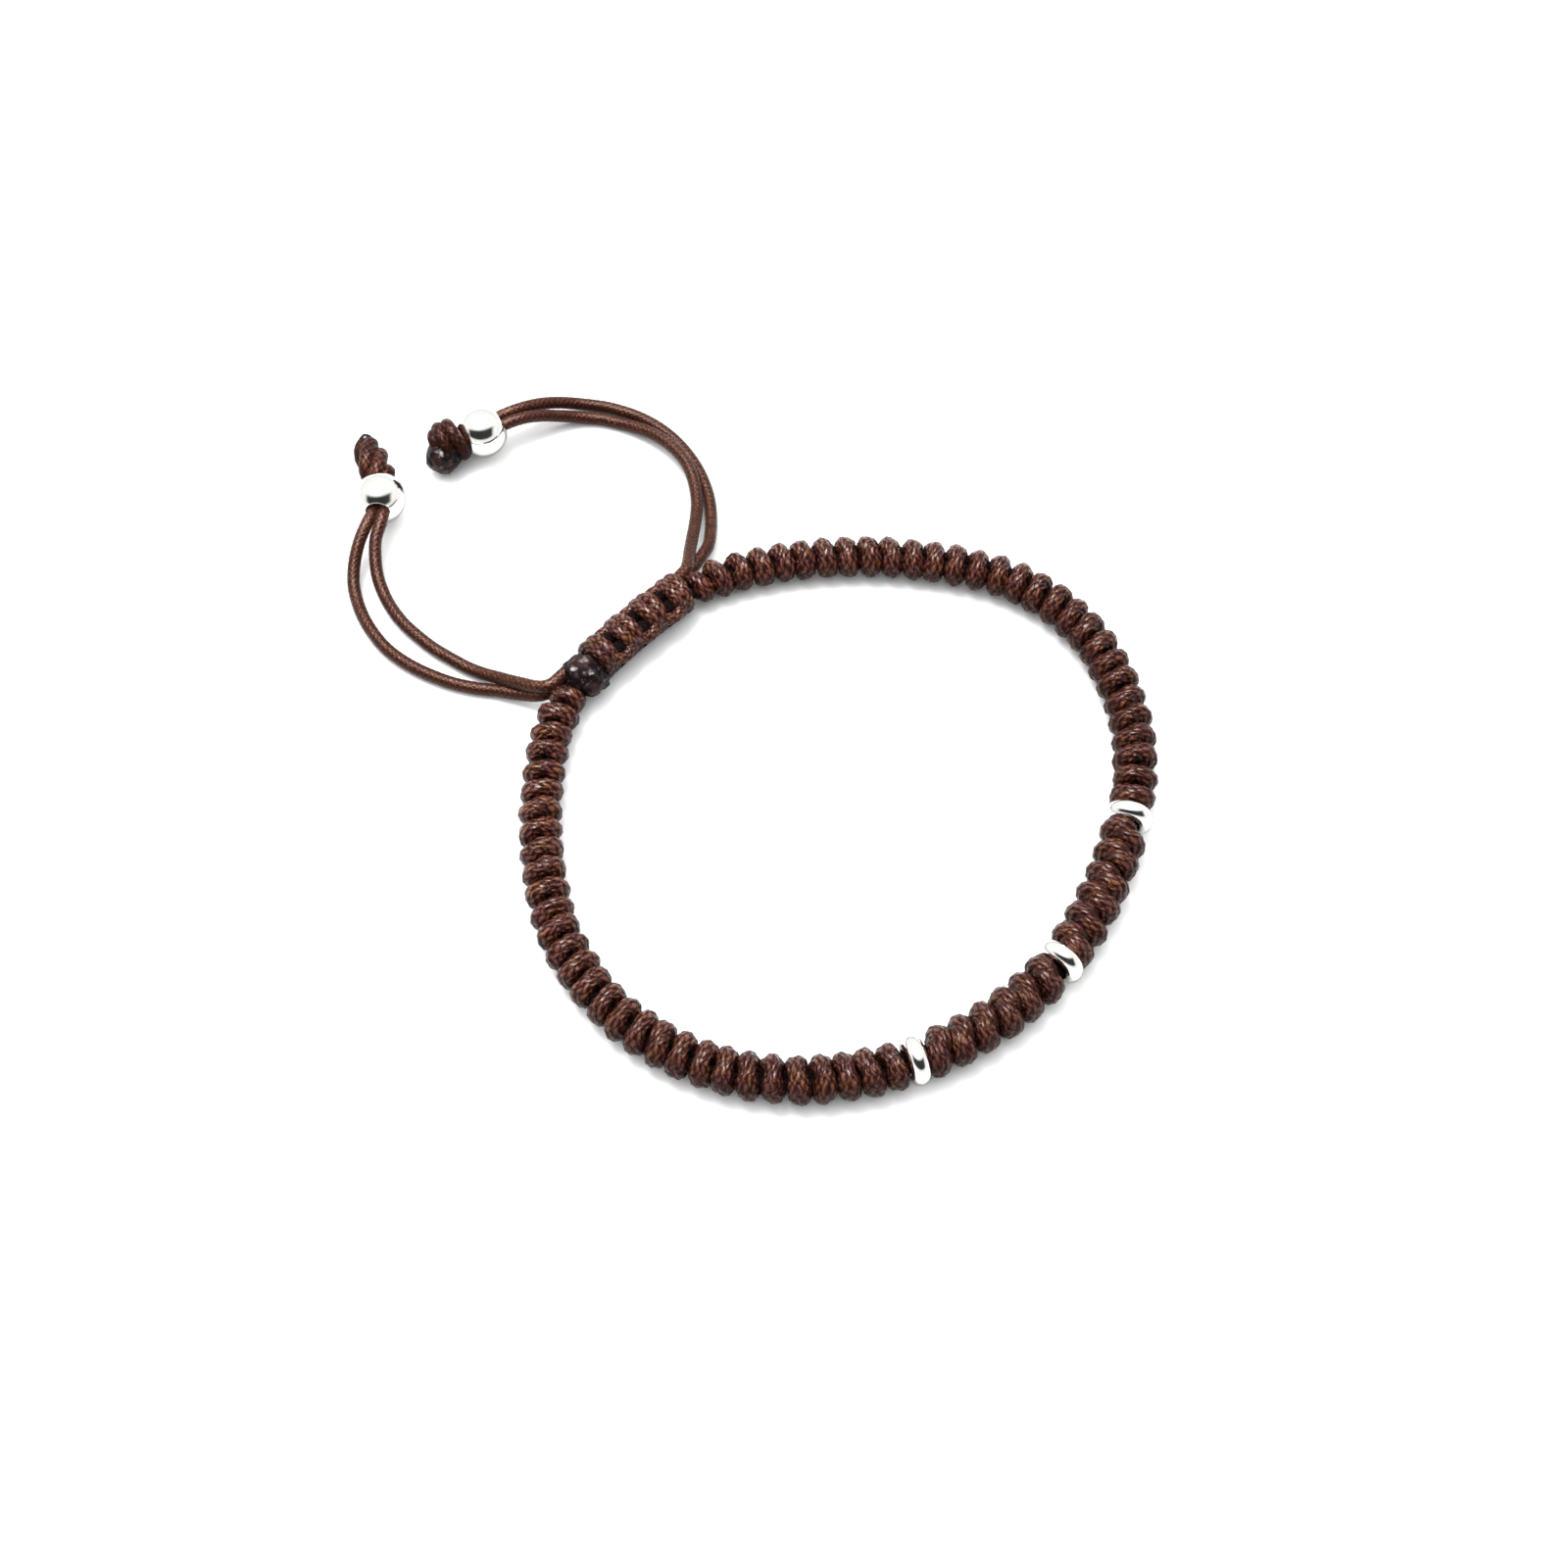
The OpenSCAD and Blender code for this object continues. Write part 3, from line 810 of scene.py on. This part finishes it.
def cord_material(name, crown_tone, crease_shade_tone, tuck_shade_and_char_tone, low=0.2, drift=1.3, gloss=0.15, shine=0.09,
                  wax=0.0, sheen=0.0, relief=0.12 * MM):
    """Waxed braided polyester with glossy yarns and creases painted dark as shade.

    The three tones are those of the yarns' crowns, of the painted shade in the creases, and of cord that
    is painted as shade where it is tucked under other cord and darkened by real char near a melted end.
    low is the share of the crowns' tone that is left low on the cord, the rest being painted shade; drift
    is how uneven the dye is, gloss the roughness of the wax, shine the yarns' reflection and wax the
    strength of the wax coat.
    """
    material = new_material(name)
    tree = material.node_tree
    uv = output_of(tree, "ShaderNodeUVMap", uv_map=BRAID_UV)
    right, back, height_up = split(tree, output_of(tree, "ShaderNodeTexCoord", output="Object"))
    yarns = group_node(tree, "Braided yarns", {"Place": uv})
    # The dye is painted lighter and paler high on the cord: painted light on its tops
    dye = group_node(tree, "Dye and wax", {"Tone": rgba(crown_tone), "Drift": drift,
                                           "Painted top light": height_up.between(*PAINTED_TOP_LIGHT_BETWEEN) * 0.6})
    height, crown, streak = (Number(tree, output) for output in yarns.outputs)
    dull = Number(tree, dye.outputs["Wax"])
    # Painted shade on cord tucked under other cord, and real char near a melted end, read from the stored
    # share; both darken the colour and dull the wax coat
    tuck_shade_and_char = number_of(tree, "ShaderNodeAttribute", output="Fac", attribute_name=TUCK_SHADE_AND_CHAR)
    # Painted shade low on the cord: below a height, which is lower where the band is thin, the crowns
    # darken towards the tone of the creases, down to the share low of their own tone, and the wax coat
    # fades
    lower = (back - right).between(*THINS_BETWEEN) * TOPS_LOWER
    painted_shade_and_wear = (height_up + lower).between(*PAINTED_SHADE_LIFTS_BETWEEN) * (1 - low) + low
    # Painted shade in the creases between the yarns, which take the tone of the creases
    lit = blend(tree, crown * painted_shade_and_wear, rgba(crease_shade_tone), dye.outputs["Color"])
    shiny = crown * (1 - dull * 0.6) * (1 - tuck_shade_and_char * 0.7)
    set_shader(material, {
        "Base Color": blend(tree, tuck_shade_and_char * 0.88, lit, rgba(tuck_shade_and_char_tone)),
        "Roughness": gloss + 0.06 + streak * 0.06 + dull * 0.14,
        "Specular IOR Level": shine, "Specular Tint": rgba(WARM_GLINT),
        "Coat Weight": shiny * painted_shade_and_wear * wax, "Coat Roughness": gloss, "Coat IOR": 1.4,
        "Sheen Weight": sheen, "Sheen Roughness": 0.4, "Sheen Tint": rgba(GREY_SHEEN),
        "Normal": bumps(tree, height + streak * 0.1, relief)})


def melted_material(tone):
    """Cord melted to a dark glassy lump, speckled with fibres that didn't melt."""
    brown = (0.03, 0.015, 0.014)
    fibre = (0.12, 0.075, 0.07)
    material = new_material("melted cord")
    tree = material.node_tree
    spot = output_of(tree, "ShaderNodeTexCoord", output="Object")
    cells = number_of(tree, "ShaderNodeTexVoronoi", {"Vector": spot, "Scale": MELT_SPECKS}, "Distance",
                      feature="F1")
    waves = noise_on(tree, MELT_WAVES, 4.0)
    swirl = waves.between(0.4, 0.7)
    specks = (1 - cells.between(0.1, 0.35)) * swirl
    patches = noise_on(tree, MELT_PATCHES, 1.0).between(0.45, 0.62)
    body = blend(tree, patches * 0.8, rgba(tone), rgba(brown))
    set_shader(material, {
        "Base Color": blend(tree, specks, body, rgba(fibre)), "Roughness": 0.3 + swirl * 0.25,
        "Specular IOR Level": 0.04, "Specular Tint": (1.0, 0.84, 0.8, 1),
        "Coat Weight": swirl * swirl * 0.6, "Coat Roughness": 0.15, "Coat IOR": 1.4,
        "Normal": bumps(tree, waves - specks * 0.15, 0.3 * MM)})


def silver_material(tone):
    """Mirror-polished silver with the faint uneven polish of a small cast bead."""
    material = new_material("polished silver")
    tree = material.node_tree
    polish = noise_on(tree, POLISH_WAVES, 3.0)
    painted_shade_and_wear = polish.between(0.35, 0.75)
    set_shader(material, {
        "Base Color": blend(tree, painted_shade_and_wear, rgba(tone), rgba(shade_of(tone, 0.95))),
        "Metallic": 1.0, "Roughness": 0.1 + painted_shade_and_wear * 0.06, "Specular Tint": (0.4, 0.4, 0.38, 1),
        "Normal": bumps(tree, polish, 0.02 * MM, 0.05)})


def make_materials():
    cord = bpy.context.scene.bracelet_cord
    yarn, crease_shade = tuple(cord.yarn), tuple(cord.crease_shade)
    waxed = shade_of(yarn, 0.36)
    # The core cords are painted near black: painted shade in the pits and gaps where they show
    core = (0.0055, 0.0035, 0.0035)
    braid_group()
    dye_group()
    cord_material("knotted cord", yarn, crease_shade, crease_shade, low=0.25, wax=0.85)
    cord_material("sliding cord", shade_of(yarn, 0.8), crease_shade, crease_shade, wax=0.6)
    cord_material("stopper cord", shade_of(yarn, 0.4), crease_shade, crease_shade, gloss=0.3, shine=0.06, wax=0.4,
                  relief=0.06 * MM)
    cord_material("waxed cord", waxed, shade_of(waxed, 0.55), crease_shade, low=0.6, drift=1.5, gloss=0.22,
                  shine=0.12, wax=0.5, sheen=0.1, relief=0.04 * MM)
    cord_material("core cord", core, core, core, low=1.0, drift=0.9, gloss=0.6, shine=0.02,
                  relief=0.1 * MM)
    melted_material(tuple(cord.melt))
    silver_material(tuple(bpy.context.scene.bracelet_silver.metal))


# Operators

class BRACELET_OT_stage(bpy.types.Operator):
    """Adds the camera, the pale floor and the soft light"""

    bl_idname = "bracelet.stage"
    bl_label = "Camera, floor and light"

    def execute(self, context):
        scene = context.scene
        settings = scene.bracelet_stage
        self.add_camera(scene, settings)
        self.add_floor()
        self.add_key_light(settings)
        self.add_surroundings(scene, settings)
        scene.view_settings.view_transform = "Standard"
        scene.view_settings.look = "None"
        return {"FINISHED"}

    def add_camera(self, scene, settings):
        data = bpy.data.cameras.new("camera")
        data.sensor_width = 36
        data.sensor_fit = "HORIZONTAL"
        data.lens = settings.lens
        data.clip_start = 0.01
        data.clip_end = 20
        camera = show(bpy.data.objects.new("camera", data))
        away = Vector((0, -math.cos(settings.elevation), math.sin(settings.elevation)))
        camera.location = Vector(settings.target) + away * settings.distance
        camera.rotation_euler = away.to_track_quat("Z", "Y").to_euler()
        scene.camera = camera

    def add_floor(self):
        half = 1.5
        mesh = bpy.data.meshes.new("floor")
        mesh.from_pydata([(-half, -half, 0), (half, -half, 0), (half, half, 0), (-half, half, 0)],
                         [], [(0, 1, 2, 3)])
        material = new_material("pale floor")
        set_shader(material, {"Base Color": (0.94, 0.94, 0.94, 1), "Roughness": 0.8,
                              "Specular IOR Level": 0.2})
        mesh.materials.append(material)
        show(bpy.data.objects.new("floor", mesh))

    def add_key_light(self, settings):
        data = bpy.data.lights.new("key", "AREA")
        data.shape = "DISK"
        data.size = 0.2
        data.energy = settings.key
        key = show(bpy.data.objects.new("key", data))
        key.location = (-0.14, 0.12, 0.5)
        key.rotation_euler = Vector(key.location).to_track_quat("Z", "Y").to_euler()

    def add_surroundings(self, scene, settings):
        """Soft light from above and behind, and what the silver and the wax mirror.

        They mirror white cloth all round, brighter overhead, and the dark of the room in front.
        The camera itself sees plain white.
        """
        world = bpy.data.worlds.new("studio")
        world.use_nodes = True
        tree = world.node_tree
        x, y, z = split(tree, output_of(tree, "ShaderNodeTexCoord", output="Generated"))
        # How far a direction points up in the photograph, which looks down at 60 degrees
        upward = y * 0.866 + z * 0.5
        under_cloth = 1 - (upward - x * x * 0.35 - x * 0.12).between(-0.12, 0.08)
        room = z.between(0.18, 0.34) * under_cloth * (1 - x.size().between(0.74, 0.92))
        overhead = (z * 0.985 + y * 0.14 - x * 0.1).between(0.87, 0.95)
        cloth = 0.95 + z.between(0.0, 0.3) * 0.15 + overhead * settings.overhead
        mirrored = cloth * (1 - room * 0.97)
        lit = (1 + y * 0.95 - x * 0.2) * (z * 1.38 + 0.04) * settings.sky
        glossy = number_of(tree, "ShaderNodeLightPath", output="Is Glossy Ray")
        seen = Number(tree, glossy.socket.node.outputs["Is Camera Ray"])
        background = tree.nodes["Background"]
        feed(tree, glossy * mirrored + seen + (1 - glossy) * (1 - seen) * lit,
             background.inputs["Strength"])
        background.inputs["Color"].default_value = (1, 1, 1, 1)
        scene.world = world


class BRACELET_OT_tails(bpy.types.Operator):
    """Adds the four tail cords, two through each bead"""

    bl_idname = "bracelet.tails"
    bl_label = "Tail cords"

    def execute(self, context):
        diameter = context.scene.bracelet_cord.cord_d
        for name, points in TAIL_ROUTES.items():
            line = smooth_route(points)
            hidden = line[0] - (line[ROUTE_STEPS] - line[0]).normalized() * TAIL_HIDDEN * MM
            lifted = [Vector((*spot.xy, max(spot.z, diameter * TAIL_CENTRE)))
                      for spot in [hidden] + line]
            tail = cords("tail_" + name, [lifted], False, diameter * TAIL_FULLNESS, "waxed cord")
            piece(tail, "waxed_cord", "tail_cord_" + name)
            pair = name.split("_")[0]
            route_length(line)
            bpy.data.objects["bead_" + pair]
            bpy.data.objects["stopper_" + pair]
        return {"FINISHED"}


class BRACELET_OT_band(bpy.types.Operator):
    """Adds the four knotted stretches of the band"""

    bl_idname = "bracelet.band"
    bl_label = "Knotted band"

    def execute(self, context):
        band = context.scene.bracelet_band
        loop = [loop_point(s / LOOP_POINTS_PER_MM, 0, 0)
                for s in range(int(LOOP_LENGTH * LOOP_POINTS_PER_MM))]
        path = guide("loop_path", [loop], True)
        full, end = band.full_d, band.end_d
        front, middle, side = RINGS_AT.values()
        # From, to, knots, first and last diameter, the neck's number, and the stagger in knots
        stretches = {
            "left": (MELTED_TO + NECK_GAP, front - RING_ROOM, 30, end, full, 0, 0.14),
            "front": (front + RING_ROOM, middle - RING_ROOM, 6, full, full, NO_NECK, -0.36),
            "side": (middle + RING_ROOM, side - RING_ROOM, 6, full, full, NO_NECK, -0.36),
            "back": (side + RING_ROOM, SLIDE_AGAIN - NECK_GAP, 29, full * 0.95, end, 28, 0.14),
        }
        for turn, (name, row) in enumerate(stretches.items()):
            first, last, knots, first_d, last_d, neck, stagger = row
            pitch = (last - first) / knots * MM
            obj = made_by("Knotted band", "knots_" + name, {
                "Path": path, "Material": look("knotted cord"), "Diameter": band.lobe * pitch,
                "Cell": band.cell, "Relief": context.scene.bracelet_cord.relief,
                "Cells around": round(math.pi * band.lobe * pitch / band.cell),
                "Squareness": band.squareness, "From": first * MM, "To": last * MM, "Knots": knots,
                "First diameter": first_d, "Last diameter": last_d, "Neck diameter": band.neck_d,
                "Neck knot": neck, "Stagger": stagger * pitch, "Dive": band.dive, "Taper": band.taper,
                "Unevenness": band.unevenness, "Seed": band.seed + 10 * turn})
            piece(obj, "waxed_cord", "knotted_band_" + name)
        bpy.data.objects.remove(path)
        return {"FINISHED"}


class BRACELET_OT_rings(bpy.types.Operator):
    """Adds the three silver rings in the band"""

    bl_idname = "bracelet.rings"
    bl_label = "Silver rings"

    def execute(self, context):
        silver = context.scene.bracelet_silver
        rim_r = silver.ring_w / 2
        profile = bored_profile(silver.ring_d / 2 - rim_r, rim_r, silver.ring_bore / 2, steps=40)
        for name, s in RINGS_AT.items():
            x, y, heading = loop_place(s)
            centre = Vector((x * MM, y * MM, silver.ring_d / 2))
            ring = threaded("ring_" + name, profile, centre, heading, 0)
            piece(ring, "polished_silver", "silver_ring_" + name)
        return {"FINISHED"}


class BRACELET_OT_beads(bpy.types.Operator):
    """Adds the round silver bead on each tail"""

    bl_idname = "bracelet.beads"
    bl_label = "End beads"

    def execute(self, context):
        silver = context.scene.bracelet_silver
        profile = bored_profile(0, silver.bead_d / 2, silver.bead_bore / 2, steps=56)
        for name, (centre, heading) in BEADS.items():
            bead = threaded("bead_" + name, profile, Vector(centre) * MM, math.radians(heading),
                            silver.bead_tilt)
            piece(bead, "polished_silver", "end_bead_" + name)
        return {"FINISHED"}


class BRACELET_OT_cores(bpy.types.Operator):
    """Adds the core cords that show beside the rings and at the necks, and those inside the band, near
    black as painted shade
    """

    bl_idname = "bracelet.cores"
    bl_label = "Core cords"

    def execute(self, context):
        diameter = context.scene.bracelet_cord.cord_d
        height = context.scene.bracelet_band.full_d / MM / 2
        places = {name: (s - CORE_SHOWN, s + CORE_SHOWN) for name, s in RINGS_AT.items()}
        places["left_end"] = (MELTED_TO - CORE_IN_KNOT, MELTED_TO + NECK_GAP + CORE_IN_BAND)
        places["back_end"] = (SLIDE_AGAIN - NECK_GAP - CORE_IN_BAND, SLIDE_AGAIN + CORE_IN_KNOT)
        for name, (first, last) in places.items():
            lines = [loop_line(first, last, side, height, count=12) for side in CORE_SIDES]
            obj = cords("core_" + name, lines, False, diameter, "core cord")
            piece(obj, "core_cord", "core_cords_" + name)
        cuts = [places[name] for name in ("left_end", "front", "middle", "side", "back_end")]
        lines = []
        for before, after in zip(cuts, cuts[1:]):
            first, last = before[1] - CORE_OVERLAP, after[0] + CORE_OVERLAP
            for side in CORE_SIDES:
                lines.append(loop_line(first, last, side, height, int(last - first)))
        piece(cords("core_band", lines, False, diameter * 1.2, "core cord", coarse=2.0), "core_cord")
        return {"FINISHED"}


class BRACELET_OT_sliding_knot(bpy.types.Operator):
    """Adds the sliding knot: pairs of strands over four core cords, near black as painted shade, and its
    side loops
    """

    bl_idname = "bracelet.sliding_knot"
    bl_label = "Sliding knot"

    def execute(self, context):
        bars = cords("slide_bars", self.bars(), True, BAR_STRAND * MM, "sliding cord", SLIDE_COARSE)
        char(bars, loop_point(SLIDE_TO + 1.6, -0.4, SLIDE_Z) / MM, near=2.4, far=4.4)
        piece(bars, "waxed_cord", "sliding_knot")
        for name, loops, strand in (("slide_inner_loops", self.inner_loops(), INNER_STRAND),
                                    ("slide_outer_loops", self.outer_loops(), OUTER_STRAND)):
            piece(cords(name, loops, False, strand * MM, "sliding cord", SLIDE_COARSE), "waxed_cord")
        core = [loop_line(first, SLIDE_TO, across, z, count=30) for first, across, z in SLIDE_CORES]
        piece(cords("slide_core", core, False, SLIDE_CORE_D * MM, "core cord"), "core_cord")
        return {"FINISHED"}

    def bars(self):
        """Closed turns round the core, two to a bar, closer together at the inner edge."""
        half_w, half_h, points = 1.7, 1.4, 48
        rings = []
        for number, middle in enumerate(SLIDE_BARS):
            for side in (-1, 1):
                ring = []
                for i in range(points):
                    a = 2 * math.pi * i / points
                    inner, outer = max(0, math.cos(a)), max(0, -math.cos(a))
                    apart = 0.57 - 0.15 * outer - 0.22 * inner
                    wobble = 0.08 * math.sin(2 * a + 2.1 * number + side)
                    inward = half_w * math.cos(a) * (1 - 0.3 * inner ** 1.5)
                    ring.append(loop_point(middle + side * apart + wobble, inward,
                                           SLIDE_Z + half_h * math.sin(a)))
                rings.append(ring)
        return rings

    def inner_loops(self):
        """A thick loop over the gap between two bars, at the inner edge."""
        start, reach, points = 0.05, 3.1, 16
        loops = []
        for number, middle in enumerate(SLIDE_BARS[:-1]):
            loop = []
            for i in range(points + 1):
                t = i / points
                bulge = math.sin(math.pi * t) ** 0.7
                loop.append(loop_point(middle + start + reach * t,
                                       0.95 + 0.85 * bulge - 0.06 * number,
                                       SLIDE_Z + 0.75 - 0.55 * bulge))
            loops.append(loop)
        return loops

    def outer_loops(self):
        """A small loop in the gap between two bars, at the outer edge."""
        start, reach, points = 0.6, 2.05, 12
        loops = []
        for middle in SLIDE_BARS[:-1]:
            loop = []
            for i in range(points + 1):
                t = i / points
                bulge = math.sin(math.pi * t)
                loop.append(loop_point(middle + start + reach * t, -0.9 - 0.65 * bulge, SLIDE_Z + 0.6))
            loops.append(loop)
        return loops


def axes_of(axis):
    """Directions along an axis, to its side and up."""
    along = axis.normalized()
    side = Vector((0, 0, 1)).cross(along).normalized()
    return along, side, along.cross(side)


def dome_rows(half_w, half_h, count, power):
    """Rows of a rounded lump from one end to the other: share of the length and half-widths."""
    rows = []
    for i in range(count + 1):
        # The first and last rows lie a little way in, so that they have some width
        share = 0.5 - 0.5 * math.cos(math.pi * (i + 0.35) / (count + 0.7))
        size = (1 - abs(2 * share - 1) ** power) ** (1 / power)
        rows.append((share, half_w * size, half_h * size))
    return rows


def lump(name, rows, start, axis, roughness, seed, steps):
    """A closed melted lump about an axis, made uneven by noise."""
    along, side, up = axes_of(axis)
    shape = bmesh.new()
    rings = []
    for share, half_w, half_h in rows:
        ring = []
        for step in range(steps):
            turn = 2 * math.pi * step / steps
            ring.append(shape.verts.new(start + along * axis.length * share
                                        + side * half_w * math.cos(turn) + up * half_h * math.sin(turn)))
        rings.append(ring)
    for first, second in zip(rings, rings[1:]):
        for step in range(steps):
            after = (step + 1) % steps
            shape.faces.new((first[step], first[after], second[after], second[step]))
    shape.faces.new(reversed(rings[0]))
    shape.faces.new(rings[-1])
    bmesh.ops.recalc_face_normals(shape, faces=shape.faces)
    for vert in shape.verts:
        spot = (vert.co / MM + Vector((seed, 0, 0))) * LUMPS_PER_MM
        outwards = (vert.co - start - axis * 0.5).normalized()
        vert.co += outwards * roughness * noise.fractal(spot, *LUMP_NOISE)
    mesh = bpy.data.meshes.new(name)
    shape.to_mesh(mesh)
    shape.free()
    return finished(name, mesh, "melted cord")


def char(obj, centre, near, far):
    """Marks the cord as dark near a melted lump, by the distance in millimetres from its centre."""
    marks = obj.data.attributes.new(TUCK_SHADE_AND_CHAR, "FLOAT", "POINT")
    centre = Vector(centre) * MM
    for vert, mark in zip(obj.data.vertices, marks.data):
        distance = (vert.co - centre).length / MM
        mark.value = 1 - min(max((distance - near) / (far - near), 0), 1)


class BRACELET_OT_melted_end(bpy.types.Operator):
    """Adds the melted, glassy end of the sliding knot"""

    bl_idname = "bracelet.melted_end"
    bl_label = "Melted end"

    def execute(self, context):
        first = loop_point(SLIDE_TO - 0.6, 0.1, SLIDE_Z)
        last = loop_point(MELTED_TO + 0.1, 0.1, SLIDE_Z)
        dome = dome_rows(2.3 * MM, 2.0 * MM, count=26, power=2.4)
        narrowed = [(share, half_w * (1.08 - 0.3 * share), half_h * (1.06 - 0.25 * share))
                    for share, half_w, half_h in dome]
        obj = lump("melted_lump", narrowed, first, last - first, roughness=0.4 * MM, seed=3, steps=72)
        piece(obj, "melted_cord", "melted_end")
        return {"FINISHED"}


class BRACELET_OT_end_knots(bpy.types.Operator):
    """Adds the stopper knot beyond each bead, with its melted tip"""

    bl_idname = "bracelet.end_knots"
    bl_label = "End knots"

    def execute(self, context):
        knots = {
            "left": (self.wound(*LEFT_KNOT), False, LEFT_STRAND * MM),
            "back": ([self.turn(*row) for row in BACK_KNOT], True, BACK_STRAND * MM),
        }
        for name, (lines, closed, diameter) in knots.items():
            knot = cords("stopper_" + name, lines, closed, diameter, "stopper cord", KNOT_COARSE)
            piece(knot, "waxed_cord", "end_knot_" + name)
            char(knot, *CHARRED[name])
        for name, (start, end, half_w, half_h) in TIPS.items():
            start, end = Vector(start) * MM, Vector(end) * MM
            dome = dome_rows(half_w * MM, half_h * MM, count=24, power=2.2)
            tip = lump("melted_tip_" + name, dome, start, end - start, roughness=0.22 * MM, seed=8,
                       steps=56)
            piece(tip, "melted_cord")
        return {"FINISHED"}

    def turn(self, centre, heading, radius, points=40):
        """A closed, slanting turn round the cord."""
        heading = math.radians(heading)
        ring = []
        for i in range(points):
            a = 2 * math.pi * i / points
            slant = 0.3 * math.sin(a)
            across = radius * math.cos(a)
            ring.append((Vector(centre) + Vector((across * math.sin(heading) + slant * math.cos(heading),
                                                  slant * math.sin(heading) - across * math.cos(heading),
                                                  radius * math.sin(a)))) * MM)
        return ring

    def wound(self, start, end, radius, turns, strands=3, points=60):
        """Strands wound side by side, which waver, narrow to the tip and meet at both ends."""
        start = Vector(start)
        axis = Vector(end) - start
        along, side, up = axes_of(axis)
        strand = LEFT_STRAND
        lines = []
        for number in range(strands):
            line = []
            for i in range(points + 1):
                t = i / points
                turn = 2 * math.pi * (number / strands + turns * t + 0.05 * math.sin(9 * t + 2 * number))
                size = (radius - strand / 2) * math.sin(math.pi * t) ** 0.5 * (1.04 - 0.4 * t)
                share = 0.5 - 0.5 * math.cos(math.pi * t)
                line.append((start + along * (strand * 0.4 + (axis.length - strand * 0.8) * share)
                             + side * size * math.cos(turn) + up * size * math.sin(turn)) * MM)
            lines.append(line)
        return lines


class BRACELET_PT_panel(bpy.types.Panel):
    """Lists the bracelet's pieces"""

    bl_idname = "BRACELET_PT_panel"
    bl_label = "Rope bracelet"
    bl_space_type = "VIEW_3D"
    bl_region_type = "UI"
    bl_category = "Bracelet"

    def draw(self, context):
        for operator in OPERATORS:
            self.layout.operator(operator.bl_idname)


OPERATORS = (
    BRACELET_OT_stage,
    BRACELET_OT_beads,
    BRACELET_OT_end_knots,
    BRACELET_OT_tails,
    BRACELET_OT_band,
    BRACELET_OT_rings,
    BRACELET_OT_cores,
    BRACELET_OT_sliding_knot,
    BRACELET_OT_melted_end,
)
SETTINGS = {
    "bracelet_band": BandSettings,
    "bracelet_cord": CordSettings,
    "bracelet_silver": SilverSettings,
    "bracelet_stage": StageSettings,
}


def register():
    for settings in SETTINGS.values():
        bpy.utils.register_class(settings)
    for name, settings in SETTINGS.items():
        setattr(bpy.types.Scene, name, PointerProperty(type=settings))
    for operator in OPERATORS:
        bpy.utils.register_class(operator)
    bpy.utils.register_class(BRACELET_PT_panel)


def unregister():
    bpy.utils.unregister_class(BRACELET_PT_panel)
    for operator in reversed(OPERATORS):
        bpy.utils.unregister_class(operator)
    for name in SETTINGS:
        delattr(bpy.types.Scene, name)
    for settings in SETTINGS.values():
        bpy.utils.unregister_class(settings)


def main():
    register()
    make_materials()
    braided_cord_tree()
    cord_tree()
    band_tree()
    for operator in OPERATORS:
        family, name = operator.bl_idname.split(".")
        getattr(getattr(bpy.ops, family), name)()


if __name__ == "__main__":
    main()
